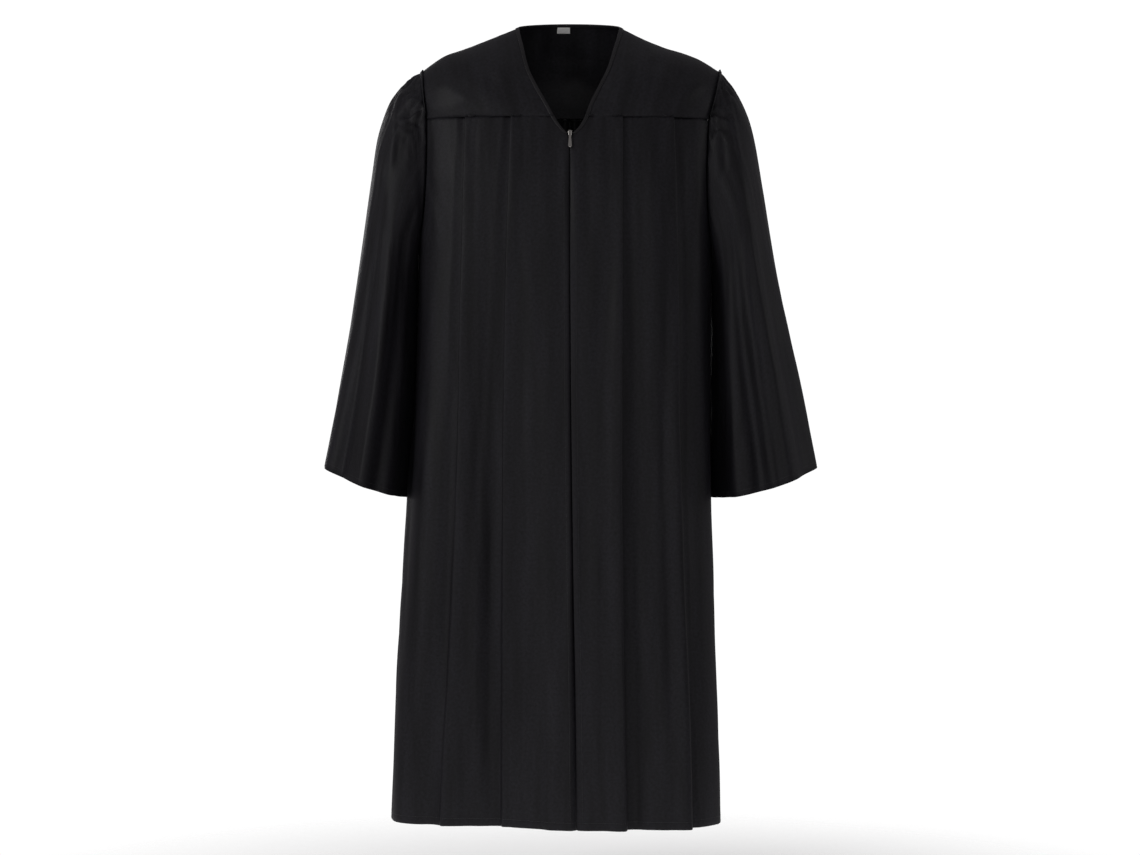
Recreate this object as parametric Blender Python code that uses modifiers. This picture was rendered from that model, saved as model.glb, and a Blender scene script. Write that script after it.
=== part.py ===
"""Graduation gown filled out as worn, built as the pieces that are cut and sewn, each a thin wall of cloth.

+X is the wearer's left, -Y the front and +Z up. The origin is the middle of the neck, level with the tops of
the shoulders. Lengths are in metres, and a drop is a distance below the origin.
"""

import math
from typing import NamedTuple

import bmesh
import bpy
import numpy as np
from mathutils import Vector

GOWN = "Graduation_gown"
RIGHT = "right"
LEFT = "left"
SIGN = {RIGHT: -1, LEFT: 1}

WALL = 0.0016
HALF_WALL = WALL / 2
SEAM_GAP = 0.0003
HALF_GAP = SEAM_GAP / 2

FRONT_YOKE_DROP = 0.156
BACK_YOKE_DROP = 0.137
V_FOOT_DROP = 0.187
UNDERARM_DROP = 0.370
HEM_DROP = 1.278
ZIP_HALF_GAP = 0.0011


class BodyRing(NamedTuple):
    """Level of the body: half widths at the side seams, depths at the centre, and how square the ring is."""

    drop: float
    right: float
    left: float
    front_right: float
    front_left: float
    back: float
    squareness: float
    zip_x: float
    groove: float


BODY = (
    BodyRing(0.137, 0.2500, 0.2430, 0.1080, 0.1080, 0.1140, 2.70, 0.000, 0.0000),
    BodyRing(0.156, 0.2500, 0.2420, 0.1150, 0.1150, 0.1170, 2.70, 0.000, 0.0000),
    BodyRing(0.187, 0.2495, 0.2400, 0.1235, 0.1235, 0.1210, 2.70, 0.000, 0.0010),
    BodyRing(0.260, 0.2480, 0.2350, 0.1370, 0.1370, 0.1270, 2.75, 0.000, 0.0030),
    BodyRing(0.370, 0.2460, 0.2300, 0.1420, 0.1440, 0.1310, 2.80, 0.000, 0.0030),
    BodyRing(0.580, 0.2515, 0.2290, 0.1440, 0.1560, 0.1420, 3.00, 0.001, 0.0035),
    BodyRing(0.764, 0.2632, 0.2292, 0.1460, 0.1680, 0.1540, 3.30, 0.003, 0.0045),
    BodyRing(0.910, 0.2722, 0.2306, 0.1480, 0.1780, 0.1660, 3.50, 0.005, 0.0060),
    BodyRing(1.082, 0.2812, 0.2334, 0.1510, 0.1900, 0.1810, 3.80, 0.008, 0.0080),
    BodyRing(1.278, 0.2872, 0.2380, 0.1550, 0.2030, 0.2000, 4.20, 0.010, 0.0100),
)
# Towards the hem the right front falls back from the zip to its own depth within this width.
RIGHT_FALL_WIDTH = 0.115


class RidgePoint(NamedTuple):
    """Place on the crest of the shoulders, from the neck (0) to the shoulder point (1)."""

    share: float
    right: float
    left: float
    drop: float


RIDGE = (
    RidgePoint(0.00, 0.0840, 0.0820, 0.0000),
    RidgePoint(0.25, 0.1220, 0.1140, 0.0165),
    RidgePoint(0.50, 0.1660, 0.1545, 0.0330),
    RidgePoint(0.75, 0.2070, 0.2030, 0.0490),
    RidgePoint(1.00, 0.2430, 0.2460, 0.0740),
)


class NeckEdge(NamedTuple):
    """Level of the V neck: half gaps on each side and how far forward the edge lies."""

    drop: float
    right: float
    left: float
    forward: float


V_NECK = (
    NeckEdge(0.000, 0.0840, 0.0820, 0.0000),
    NeckEdge(0.003, 0.0836, 0.0815, 0.0160),
    NeckEdge(0.014, 0.0818, 0.0790, 0.0350),
    NeckEdge(0.040, 0.0757, 0.0715, 0.0590),
    NeckEdge(0.075, 0.0673, 0.0610, 0.0800),
    NeckEdge(0.104, 0.0543, 0.0475, 0.0945),
    NeckEdge(0.136, 0.0366, 0.0320, 0.1070),
    NeckEdge(0.156, 0.0262, 0.0250, 0.1150),
    NeckEdge(0.172, 0.0160, 0.0165, 0.1195),
    NeckEdge(0.187, 0.0028, 0.0028, 0.1235),
)
V_EDGE_POWER = 1.6
SHOULDER_EASE = 0.0004

BACK_NECK_DEPTH = 0.060
BACK_NECK_RISE = 0.014
BACK_NECK_SLOPE = math.radians(48)
BACK_SEAM_NECK_X = 0.150


class ArmholeRow(NamedTuple):
    """Level of the armhole: its share of the ring's half width at the front and at the back."""

    drop: float
    front: float
    back: float


ARMHOLE = (
    ArmholeRow(0.137, 0.920, 0.932),
    ArmholeRow(0.156, 0.920, 0.930),
    ArmholeRow(0.220, 0.925, 0.930),
    ArmholeRow(0.280, 0.940, 0.945),
    ArmholeRow(0.310, 0.955, 0.958),
    ArmholeRow(0.340, 0.980, 0.980),
    ArmholeRow(0.358, 0.994, 0.994),
    ArmholeRow(0.370, 1.000, 1.000),
)

YOKE_ROWS = 8
YOKE_COLUMNS = 9
BACK_NECK_COLUMNS = 14
FRONT_DROPS = (0.156, 0.172, 0.187, 0.220, 0.260, 0.300, 0.335, 0.358, 0.370, 0.450, 0.560, 0.680, 0.800,
               0.920, 1.040, 1.160, 1.278)
BACK_DROPS = (0.137, 0.165, 0.200, 0.250, 0.300, 0.335, 0.358, 0.370, 0.460, 0.580, 0.710, 0.850, 0.990,
              1.130, 1.278)


class PleatStation(NamedTuple):
    """Knife pleat at one level: where its folded edge lies, and the S it makes.

    The cloth turns by the sweep round the radius, runs back, and turns again. It rises to the fold over the
    reach and comes back over the tail, and the lift is the share of the step that stands proud.
    """

    drop: float
    edge_x: float
    radius: float
    sweep: float
    run: float
    reach: float
    tail: float
    lift: float


PLEATS = {
    RIGHT: (
        (
            PleatStation(0.156, 0.0940, 0.0015, 180, 0.010, 0.020, 0.014, 0.30),
            PleatStation(0.300, 0.0990, 0.0017, 180, 0.009, 0.024, 0.018, 0.35),
            PleatStation(0.680, 0.1060, 0.0035, 120, 0.003, 0.034, 0.030, 0.50),
            PleatStation(1.278, 0.1080, 0.0060, 80, 0.002, 0.045, 0.036, 0.50),
        ),
        (
            PleatStation(0.156, 0.1670, 0.0015, 180, 0.010, 0.018, 0.014, 0.30),
            PleatStation(0.300, 0.1700, 0.0017, 180, 0.009, 0.020, 0.018, 0.35),
            PleatStation(0.680, 0.1780, 0.0035, 110, 0.003, 0.028, 0.026, 0.50),
            PleatStation(1.278, 0.2050, 0.0060, 70, 0.002, 0.036, 0.032, 0.50),
        ),
    ),
    LEFT: (
        (
            PleatStation(0.156, 0.0840, 0.0015, 180, 0.010, 0.020, 0.016, 0.30),
            PleatStation(0.300, 0.0830, 0.0018, 180, 0.009, 0.024, 0.022, 0.35),
            PleatStation(0.680, 0.0820, 0.0036, 150, 0.004, 0.032, 0.032, 0.55),
            PleatStation(1.278, 0.0890, 0.0048, 130, 0.004, 0.036, 0.034, 0.55),
        ),
        (
            PleatStation(0.156, 0.1660, 0.0015, 180, 0.010, 0.018, 0.014, 0.30),
            PleatStation(0.300, 0.1700, 0.0018, 180, 0.009, 0.020, 0.018, 0.35),
            PleatStation(0.680, 0.1740, 0.0036, 145, 0.004, 0.026, 0.024, 0.50),
            PleatStation(1.278, 0.1880, 0.0048, 125, 0.004, 0.028, 0.022, 0.50),
        ),
    ),
}
PLEAT_ARC_STEPS = 4
ZIP_EDGE_COLUMNS = (0.0, 0.003, 0.008)
SIDE_COLUMNS = 3

GATHER_COLUMNS = 28
GATHER_HEIGHT = 0.0023
GATHER_FADE_DROP = 0.300


class BackFold(NamedTuple):
    """Drape fold of the back: its place across at the yoke and at the hem, width and height at the hem."""

    top: float
    hem: float
    width: float
    height: float


BACK_FOLDS = (
    BackFold(-0.72, -0.72, 0.10, 0.012),
    BackFold(-0.54, -0.54, 0.10, 0.019),
    BackFold(-0.36, -0.35, 0.09, 0.013),
    BackFold(-0.16, -0.14, 0.10, 0.020),
    BackFold(0.04, 0.08, 0.09, 0.014),
    BackFold(0.24, 0.29, 0.11, 0.021),
    BackFold(0.45, 0.50, 0.09, 0.013),
    BackFold(0.64, 0.69, 0.10, 0.015),
)


class SleeveRing(NamedTuple):
    """Ring of a sleeve: its outer edge, its inner edge's drop, and its depths about a shifted middle."""

    share: float
    right: float
    left: float
    outer_drop: float
    inner_drop: float
    front: float
    back: float
    shift: float


SLEEVE = (
    SleeveRing(0.00, 0.2430, 0.2460, 0.0740, 0.370, 0.075, 0.080, 0.000),
    SleeveRing(0.03, 0.2610, 0.2540, 0.0850, 0.382, 0.080, 0.085, 0.003),
    SleeveRing(0.06, 0.2750, 0.2660, 0.0980, 0.394, 0.087, 0.092, 0.006),
    SleeveRing(0.10, 0.2920, 0.2790, 0.1190, 0.409, 0.096, 0.101, 0.012),
    SleeveRing(0.15, 0.3060, 0.2930, 0.1500, 0.429, 0.109, 0.112, 0.022),
    SleeveRing(0.20, 0.3157, 0.3017, 0.1810, 0.449, 0.120, 0.121, 0.032),
    SleeveRing(0.30, 0.3260, 0.3143, 0.2480, 0.488, 0.131, 0.131, 0.043),
    SleeveRing(0.50, 0.3456, 0.3370, 0.3810, 0.567, 0.145, 0.145, 0.050),
    SleeveRing(0.70, 0.3662, 0.3640, 0.5140, 0.646, 0.153, 0.153, 0.052),
    SleeveRing(0.85, 0.3840, 0.3850, 0.6130, 0.705, 0.159, 0.159, 0.054),
    SleeveRing(1.00, 0.4035, 0.4035, 0.7120, 0.764, 0.165, 0.165, 0.055),
)
SLEEVE_SHARES = (0, 0.012, 0.03, 0.06, 0.10, 0.15, 0.22, 0.30, 0.40, 0.50, 0.60, 0.70, 0.80, 0.90, 1.0)
CUFF_SAG = {RIGHT: 0.0045, LEFT: 0.0105}
ARMHOLE_FADE = 0.24
BODY_CLEARANCE = 0.0034
SEAM_CLEARANCE = 0.0027
CLEARANCE_SHARE = 0.06


class SleeveFold(NamedTuple):
    """Long fold of a sleeve: angles at head and cuff (0 outer, 90 front, 180 inner), width and heights."""

    head_angle: float
    cuff_angle: float
    width: float
    head_height: float
    cuff_height: float


SLEEVE_FOLDS = {
    RIGHT: (
        SleeveFold(40, 38, 16, 0.001, 0.010),
        SleeveFold(66, 62, 15, -0.001, -0.013),
        SleeveFold(95, 92, 18, 0.002, 0.014),
        SleeveFold(140, 124, 15, -0.003, -0.020),
        SleeveFold(235, 238, 17, -0.002, -0.016),
        SleeveFold(265, 268, 16, 0.002, 0.012),
        SleeveFold(300, 300, 17, -0.001, -0.015),
    ),
    LEFT: (
        SleeveFold(34, 32, 16, 0.001, 0.009),
        SleeveFold(68, 64, 17, 0.001, 0.012),
        SleeveFold(101, 97, 14, -0.004, -0.024),
        SleeveFold(126, 122, 15, 0.002, 0.011),
        SleeveFold(238, 240, 16, -0.002, -0.017),
        SleeveFold(270, 270, 17, 0.002, 0.012),
        SleeveFold(304, 302, 16, -0.001, -0.013),
    ),
}
HEAD_GATHER_HEIGHT = 0.0030
HEAD_GATHER_PEAK = 0.045
HEAD_GATHER_END = 0.22
HEAD_GATHER_ANGLE = 115

BINDING_LEG = 0.0038
BINDING_WALL = 0.0008
BINDING_GAP = 0.0011
BINDING_FOOT_SHARE = 0.12

ZIP_TAPE_WIDTH = 0.024
ZIP_TAPE_WALL = 0.0010
ZIP_TAPE_SETBACK = 0.0040
ZIP_TOP_DROP = 0.1838
ZIP_END_DROP = 1.120

SLIDER_WIDTH = 0.0060
SLIDER_HEIGHT = 0.0094
SLIDER_PLATE = 0.0011
SLIDER_TOP_DROP = 0.1803
SLIDER_FACE_OUT = 0.0034
SLIDER_BACK_IN = 0.0078
SLIDER_BRIDGE = 0.0016
ARCH_HALF_LENGTH = 0.0026
ARCH_WIDTH = 0.0013
ARCH_BAR = 0.0008
ARCH_CLEAR = 0.0018

PULL_THICK = 0.0010
PULL_BAR = 0.0010
PULL_WINDOW = 0.0040
PULL_LENGTH = 0.0240
PULL_HALF_NECK = 0.0021
PULL_HALF_WIDTH = 0.0030
PULL_HALF_WINDOW = 0.0011

LABEL_WIDTH = 0.020
LABEL_HEIGHT = 0.0115
LABEL_WALL = 0.0006
LABEL_MIDDLE_X = -0.010

CLOTH_BLACK = (0.0115, 0.0112, 0.0130, 1.0)
BINDING_BLACK = (0.0150, 0.0148, 0.0170, 1.0)
TAPE_BLACK = (0.0080, 0.0080, 0.0090, 1.0)
SLIDER_METAL = (0.62, 0.61, 0.58, 1.0)
LABEL_WHITE = (0.86, 0.86, 0.85, 1.0)


def smooth(rows, column, at):
    """Value of a table's column at a place in its first column, on a smooth curve that never overshoots."""
    keys = np.array([row[0] for row in rows])
    values = np.array([getattr(row, column) for row in rows])
    steps = np.diff(values) / np.diff(keys)
    slopes = np.concatenate(([steps[0]], np.zeros(len(keys) - 2), [steps[-1]]))
    for i in range(1, len(keys) - 1):
        if steps[i - 1] * steps[i] > 0:
            slopes[i] = 2 * steps[i - 1] * steps[i] / (steps[i - 1] + steps[i])
    at = min(max(at, keys[0]), keys[-1])
    i = min(int(np.searchsorted(keys, at, side="right")) - 1, len(keys) - 2)
    width = keys[i + 1] - keys[i]
    t = (at - keys[i]) / width
    start = values[i] * (1 + 2 * t) * (1 - t) ** 2 + slopes[i] * width * t * (1 - t) ** 2
    end = values[i + 1] * (3 - 2 * t) * t**2 + slopes[i + 1] * width * t**2 * (t - 1)
    return float(start + end)


def ease(value):
    """Smooth step from 0 to 1."""
    value = min(max(value, 0.0), 1.0)
    return value * value * (3 - 2 * value)


def mix(start, end, share):
    """Value between two others."""
    return start + (end - start) * share


def bump(distance, width):
    """Round hump of height 1, gone at the given distance from its middle."""
    share = abs(distance) / width
    return 0.5 + 0.5 * math.cos(math.pi * share) if share < 1 else 0.0


class Quarter:
    """Quarter of the body's ring at one drop, from its centre round to the side seam."""

    STEPS = 120

    def __init__(self, drop, side, face):
        self.drop = drop
        self.sign = SIGN[side]
        half = smooth(BODY, side, drop)
        square = smooth(BODY, "squareness", drop)
        turn = np.linspace(0, math.pi / 2, self.STEPS + 1)
        self.x = half * np.sin(turn) ** (2 / square)
        share = np.clip(1 - (self.x / half) ** square, 0, 1) ** (1 / square)
        if face == "back":
            self.y = smooth(BODY, "back", drop) * share
        else:
            depth = smooth(BODY, f"front_{side}", drop)
            if side == RIGHT:
                away = np.clip(self.x / RIGHT_FALL_WIDTH, 0, 1)
                near = 1 - away * away * (3 - 2 * away)
                depth = depth + (smooth(BODY, "front_left", drop) - depth) * near
            self.y = -depth * share
        self.length = np.concatenate(([0], np.cumsum(np.hypot(np.diff(self.x), np.diff(self.y)))))

    def along_at(self, x):
        """Length along the quarter at a distance from the middle plane."""
        return float(np.interp(x, self.x, self.length))

    def frame(self, along):
        """Point at a length along the quarter, and the outward direction there."""
        step = 0.002
        ahead = min(along + step, self.length[-1])
        behind = max(ahead - 2 * step, 0)
        dx = np.interp(ahead, self.length, self.x) - np.interp(behind, self.length, self.x)
        dy = np.interp(ahead, self.length, self.y) - np.interp(behind, self.length, self.y)
        outward = 1 if self.y[0] < 0 else -1
        normal = Vector((dy, -dx, 0)).normalized() * outward
        x = float(np.interp(along, self.length, self.x)) + min(along, 0)
        y = float(np.interp(along, self.length, self.y))
        return Vector((self.sign * x, y, -self.drop)), Vector((self.sign * normal.x, normal.y, 0))

    def point(self, along, out=0.0):
        """Point at a length along the quarter, moved out of it."""
        place, normal = self.frame(along)
        return place + normal * out


def armhole_along(quarter, face):
    """Length along a quarter ring at which the armhole or the side seam ends the panel."""
    if quarter.drop >= UNDERARM_DROP:
        return quarter.length[-1]
    return quarter.along_at(quarter.x[-1] * smooth(ARMHOLE, face, quarter.drop))


def pleat_profile(station):
    """Places across and out of one pleat, from the start of its first turn to the end of its second."""
    sweep = math.radians(station.sweep)
    radius = station.radius
    turn = [sweep * i / PLEAT_ARC_STEPS for i in range(PLEAT_ARC_STEPS + 1)]
    first = [(radius * math.sin(a), radius * (math.cos(a) - 1)) for a in turn]
    across = first[-1][0] + station.run * math.cos(sweep)
    out = first[-1][1] - station.run * math.sin(sweep)
    middle = (across + radius * math.sin(sweep), out + radius * math.cos(sweep))
    back = [sweep - a for a in turn]
    second = [(middle[0] - radius * math.sin(a), middle[1] - radius * math.cos(a)) for a in back]
    return first + second


def pleat_columns(quarter, stations):
    """Lengths along the ring and heights out of it for the columns of one pleat."""
    values = [smooth(stations, name, quarter.drop) for name in PleatStation._fields[1:]]
    station = PleatStation(quarter.drop, *values)
    profile = pleat_profile(station)
    start = quarter.along_at(station.edge_x) - station.radius
    rise = -profile[-1][1] * station.lift
    end = start + profile[-1][0]
    floor = rise + profile[-1][1]
    clear = max(end + station.tail * 0.1, start + station.radius + WALL)
    rising = [(start - station.reach, 0.0), (start - station.reach / 2, rise * 0.6)]
    falling = [(clear, floor), (clear + station.tail / 2, floor * 0.5), (clear + station.tail, 0.0)]
    return rising + [(start + across, rise + out) for across, out in profile] + falling


def front_edge_x(side, drop):
    """Distance of a front's inner edge from the middle plane: the V above its foot, the zip line below."""
    if drop < V_FOOT_DROP:
        return smooth(V_NECK, side, drop)
    opening = mix(smooth(V_NECK, side, V_FOOT_DROP), ZIP_HALF_GAP, ease((drop - V_FOOT_DROP) / 0.02))
    return opening + SIGN[side] * smooth(BODY, "zip_x", drop)


def front_row(side, drop):
    """Points of a front panel at one drop, from the zip edge to the armhole or side seam."""
    quarter = Quarter(drop, side, "front")
    start = front_edge_x(side, drop)
    first = quarter.along_at(abs(start)) * (1 if start >= 0 else -1)
    last = armhole_along(quarter, "front") - HALF_GAP
    groove = smooth(BODY, "groove", drop) * ease((drop - FRONT_YOKE_DROP) / 0.05)
    depth = ZIP_EDGE_COLUMNS[-1]
    columns = [(first + a, -groove * (1 - a / depth) ** 2) for a in ZIP_EDGE_COLUMNS]
    for stations in PLEATS[side]:
        pleat = pleat_columns(quarter, stations)
        columns.append((mix(columns[-1][0], pleat[0][0], 0.5), 0.0))
        columns += pleat
    near = columns[-1][0]
    columns += [(mix(near, last, (i + 1) / (SIDE_COLUMNS + 1)), 0.0) for i in range(SIDE_COLUMNS)]
    columns.append((last, 0.0))
    return [quarter.point(along, out) for along, out in columns]


def back_height(across, drop, column):
    """Height out of the ring at a place across the back, from its gathers and its drape folds."""
    gather_edge = ease((1 - abs(across)) / 0.09)
    drape_edge = ease((0.92 - abs(across)) / 0.17)
    gather_share = ease(1 - (drop - BACK_YOKE_DROP) / (GATHER_FADE_DROP - BACK_YOKE_DROP))
    gather = GATHER_HEIGHT * gather_share * (1 if column % 2 else -1)
    down = ease((drop - BACK_YOKE_DROP) / (HEM_DROP - BACK_YOKE_DROP) * 1.15)
    drape = 0.0
    for fold in BACK_FOLDS:
        drape += fold.height * bump(across - mix(fold.top, fold.hem, down), fold.width) * down
    return gather_edge * gather + drape_edge * drape


def back_row(drop):
    """Points of the back panel at one drop, from the right armhole or side seam to the left one."""
    points = []
    for side in (RIGHT, LEFT):
        quarter = Quarter(drop, side, "back")
        last = armhole_along(quarter, "back") - HALF_GAP
        shares = np.linspace(0, 1, GATHER_COLUMNS + 1)
        row = []
        for column, share in enumerate(shares):
            across = SIGN[side] * share
            row.append(quarter.point(last * share, back_height(across, drop, column)))
        points += row[::-1] if side == RIGHT else row[1:]
    return points


def meridian(share, slope):
    """Shares out and down of a shoulder's curve, which starts at a slope and ends hanging straight."""
    turn = mix(slope, math.pi / 2, share)
    out = (math.sin(turn) - math.sin(slope)) / (1 - math.sin(slope))
    down = (math.cos(slope) - math.cos(turn)) / math.cos(slope)
    return out, down


def front_yoke_point(side, across, down):
    """Point of a front yoke, across from the V edge (0) to the armhole (1) and down from crest to seam."""
    quarter = Quarter(FRONT_YOKE_DROP, side, "front")
    crest_x = smooth(V_NECK, side, 0)
    seam_x = smooth(V_NECK, side, FRONT_YOKE_DROP)
    seam = quarter.point(mix(quarter.along_at(seam_x), armhole_along(quarter, "front"), across))
    out, fall = meridian(down, 0.0)
    neck_fall = down**V_EDGE_POWER
    neck_drop = FRONT_YOKE_DROP * neck_fall
    neck_out = smooth(V_NECK, "forward", neck_drop) / smooth(V_NECK, "forward", FRONT_YOKE_DROP)
    neck_share = (smooth(V_NECK, side, neck_drop) - crest_x) / (seam_x - crest_x)
    near = (1 - across) ** 3
    x = mix(smooth(RIDGE, side, across), abs(seam.x), mix(down * down, neck_share, 1 - across))
    drop = mix(smooth(RIDGE, "drop", across), FRONT_YOKE_DROP, mix(fall, neck_fall, near))
    return Vector((SIGN[side] * x, seam.y * mix(out, neck_out, near), -drop))


def back_crest(side, column):
    """Top point of the back yoke at a column, its seam point, and the slope at which it leaves the top."""
    quarter = Quarter(BACK_YOKE_DROP, side, "back")
    neck_along = quarter.along_at(BACK_SEAM_NECK_X)
    neck_x = smooth(RIDGE, side, 0)
    if column <= BACK_NECK_COLUMNS // 2:
        turn = math.pi / 2 * column / (BACK_NECK_COLUMNS // 2)
        top = Vector((SIGN[side] * neck_x * math.sin(turn), BACK_NECK_DEPTH * math.cos(turn),
                      BACK_NECK_RISE * math.cos(turn)))
        return top, quarter.point(neck_along * math.sin(turn)), BACK_NECK_SLOPE * math.cos(turn)
    across = (column - BACK_NECK_COLUMNS // 2) / YOKE_COLUMNS
    top = Vector((SIGN[side] * smooth(RIDGE, side, across), 0, -smooth(RIDGE, "drop", across)))
    return top, quarter.point(mix(neck_along, armhole_along(quarter, "back"), across)), 0.0


def back_yoke_point(side, column, down):
    """Point of the back yoke at a column counted from the centre, down from crest (0) to seam (1)."""
    top, seam, slope = back_crest(side, column)
    out, fall = meridian(down, slope)
    return Vector((mix(top.x, seam.x, down), mix(top.y, seam.y, out), mix(top.z, seam.z, fall)))


def yoke_shares(seam_length):
    """Shares down a yoke at its rows, which stop half a seam gap short of the seam."""
    shares = [i / YOKE_ROWS for i in range(YOKE_ROWS + 1)]
    shares[-1] = 1 - HALF_GAP / seam_length
    return shares


def front_yoke_rows(side):
    """Rows of points of a front yoke, from the shoulder seam down."""
    rows = []
    for down in yoke_shares(0.12):
        row = [front_yoke_point(side, i / YOKE_COLUMNS, down) for i in range(YOKE_COLUMNS + 1)]
        rows.append(row)
    for i, point in enumerate(rows[0]):
        point.y -= HALF_GAP + SHOULDER_EASE * (1 - i / YOKE_COLUMNS) ** 3
    return rows


def back_yoke_rows():
    """Rows of points of the back yoke, from the shoulder seams and back neck down."""
    last = BACK_NECK_COLUMNS // 2 + YOKE_COLUMNS
    rows = []
    for down in yoke_shares(0.15):
        right = [back_yoke_point(RIGHT, column, down) for column in range(last, 0, -1)]
        left = [back_yoke_point(LEFT, column, down) for column in range(last + 1)]
        rows.append(right + left)
    rows[0] = [point + Vector((0, HALF_GAP, 0)) for point in rows[0]]
    return rows


def armhole_loop(side):
    """Points of an armhole with outward directions, from the shoulder down its front and up its back."""
    loop = []
    for i in range(YOKE_ROWS):
        here = front_yoke_point(side, 1, i / YOKE_ROWS)
        inner = front_yoke_point(side, 0.96, i / YOKE_ROWS)
        ahead = front_yoke_point(side, 1, (i + 0.1) / YOKE_ROWS)
        loop.append((here, (here - inner).cross(ahead - here).normalized()))
    for face, drops in (("front", FRONT_DROPS), ("back", BACK_DROPS[::-1])):
        for drop in drops:
            if drop < UNDERARM_DROP or (drop == UNDERARM_DROP and face == "front"):
                quarter = Quarter(drop, side, face)
                loop.append(quarter.frame(armhole_along(quarter, face)))
    last = BACK_NECK_COLUMNS // 2 + YOKE_COLUMNS
    for i in range(YOKE_ROWS - 1, 0, -1):
        here = back_yoke_point(side, last, i / YOKE_ROWS)
        inner = back_yoke_point(side, last - 1, i / YOKE_ROWS)
        ahead = back_yoke_point(side, last, (i - 0.1) / YOKE_ROWS)
        loop.append((here, (here - inner).cross(ahead - here).normalized()))
    return loop


class SleeveShape:
    """Frame of one sleeve, from which its rings are worked out."""

    def __init__(self, side):
        self.side = side
        self.sign = SIGN[side]
        self.armhole = armhole_loop(side)
        centre, reach, front, back = self.ring(0)
        self.angles = []
        for place, _ in self.armhole:
            along = (place - centre).dot(reach.normalized()) / reach.length
            depth = -place.y / (front if place.y < 0 else back)
            self.angles.append(math.atan2(depth, along) % (2 * math.pi))
        self.angles[0] = 0.0
        self.offsets = [place - self.plain(0, a) for (place, _), a in zip(self.armhole, self.angles)]

    def ring(self, share):
        """Middle of a ring, the way from it to the outer edge, and its depths to the front and back."""
        inner_drop = smooth(SLEEVE, "inner_drop", share)
        shift = smooth(SLEEVE, "shift", share)
        outer_drop = smooth(SLEEVE, "outer_drop", share)
        outer = Vector((self.sign * smooth(SLEEVE, self.side, share), shift, -outer_drop))
        inner = Vector((self.sign * (smooth(BODY, self.side, inner_drop) + HALF_WALL), shift, -inner_drop))
        reach = (outer - inner) / 2
        return (outer + inner) / 2, reach, smooth(SLEEVE, "front", share), smooth(SLEEVE, "back", share)

    def plain(self, share, angle):
        """Point of a ring with no folds."""
        centre, reach, front, back = self.ring(share)
        depth = front if math.sin(angle) > 0 else back
        return centre + reach * math.cos(angle) + Vector((0, -depth * math.sin(angle), 0))

    def clear(self, place, share):
        """The point moved sideways, where it has to be, until it is clear of the gown's body."""
        face = "front" if place.y < 0 else "back"
        quarter = Quarter(-place.z, self.side, face)
        if -place.z < BACK_YOKE_DROP or abs(place.y) >= abs(quarter.y[0]):
            return place
        along = float(np.interp(abs(place.y), np.abs(quarter.y)[::-1], quarter.length[::-1]))
        edge, normal = quarter.frame(along)
        near = mix(SEAM_CLEARANCE, BODY_CLEARANCE, ease(share / CLEARANCE_SHARE)) / max(abs(normal.x), 0.5)
        if abs(place.x) < abs(edge.x) + near:
            place.x = edge.x + self.sign * near
        return place

    def point(self, column, share):
        """Point of the sleeve at a column of the armhole's loop and a share of the way to the cuff."""
        angle = self.angles[column]
        count = len(self.angles)
        even = 2 * math.pi * column / count
        angle = mix(angle, even, 0.5 * ease(share * 1.5))
        place = self.plain(share, angle) + self.offsets[column] * (1 - ease(share / ARMHOLE_FADE))
        centre = self.ring(share)[0]
        radial = (place - centre).normalized()
        degrees = math.degrees(angle)
        height = 0.0
        for fold in SLEEVE_FOLDS[self.side]:
            middle = mix(fold.head_angle, fold.cuff_angle, share)
            size = mix(fold.head_height, fold.cuff_height, ease(share)) * ease(share / 0.12)
            height += size * bump(degrees - middle, fold.width)
        from_top = min(degrees, 360 - degrees)
        gather = HEAD_GATHER_HEIGHT * ease(share / HEAD_GATHER_PEAK) * ease(1 - share / HEAD_GATHER_END)
        height += gather * ease((HEAD_GATHER_ANGLE - from_top) / 30) * (1 if column % 2 else -1)
        place = place + radial * height
        place.z -= CUFF_SAG[self.side] * max(math.sin(angle), 0) ** 2 * ease(share)
        if share == 0:
            place.x += self.sign * (SEAM_GAP + WALL * abs(self.armhole[column][1].x))
            return place
        return self.clear(place, share)


def sleeve_rows(side):
    """Closed rings of points of a sleeve, from the armhole to the cuff."""
    shape = SleeveShape(side)
    return [[shape.point(column, share) for column in range(len(shape.angles))] for share in SLEEVE_SHARES]


def neck_edge(side):
    """Places along one side's neck edge, from the V's foot to the back's middle, with ways inwards."""
    rows = [front_row(side, drop)[:2] for drop in FRONT_DROPS[:3]]
    foot = [rows[2][i].lerp(rows[1][i], BINDING_FOOT_SHARE) for i in (0, 1)]
    pairs = [(foot[0], foot[1]), (rows[1][0], rows[1][1])]
    for i in range(YOKE_ROWS, 0, -1):
        down = i / YOKE_ROWS
        pairs.append((front_yoke_point(side, 0, down), front_yoke_point(side, 1 / YOKE_COLUMNS, down)))
    middle = BACK_NECK_COLUMNS // 2
    pairs.append((back_yoke_point(side, middle, 0), back_yoke_point(side, middle + 1, 0)))
    for column in range(middle - 1, -1, -1):
        pairs.append((back_yoke_point(side, column, 0), back_yoke_point(side, column, 1 / YOKE_ROWS)))
    return [(place, (beside - place).normalized()) for place, beside in pairs]


def neck_edge_stations():
    """Places round the neck edge from the foot of the V on the right over the back to the left foot.

    Each has its point, the direction into the cloth and the outward direction.
    """
    pairs = neck_edge(RIGHT) + neck_edge(LEFT)[::-1][1:]
    stations = []
    for i, (place, inward) in enumerate(pairs):
        along = pairs[min(i + 1, len(pairs) - 1)][0] - pairs[max(i - 1, 0)][0]
        stations.append((place, inward, along.cross(inward).normalized()))
    return stations


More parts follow.
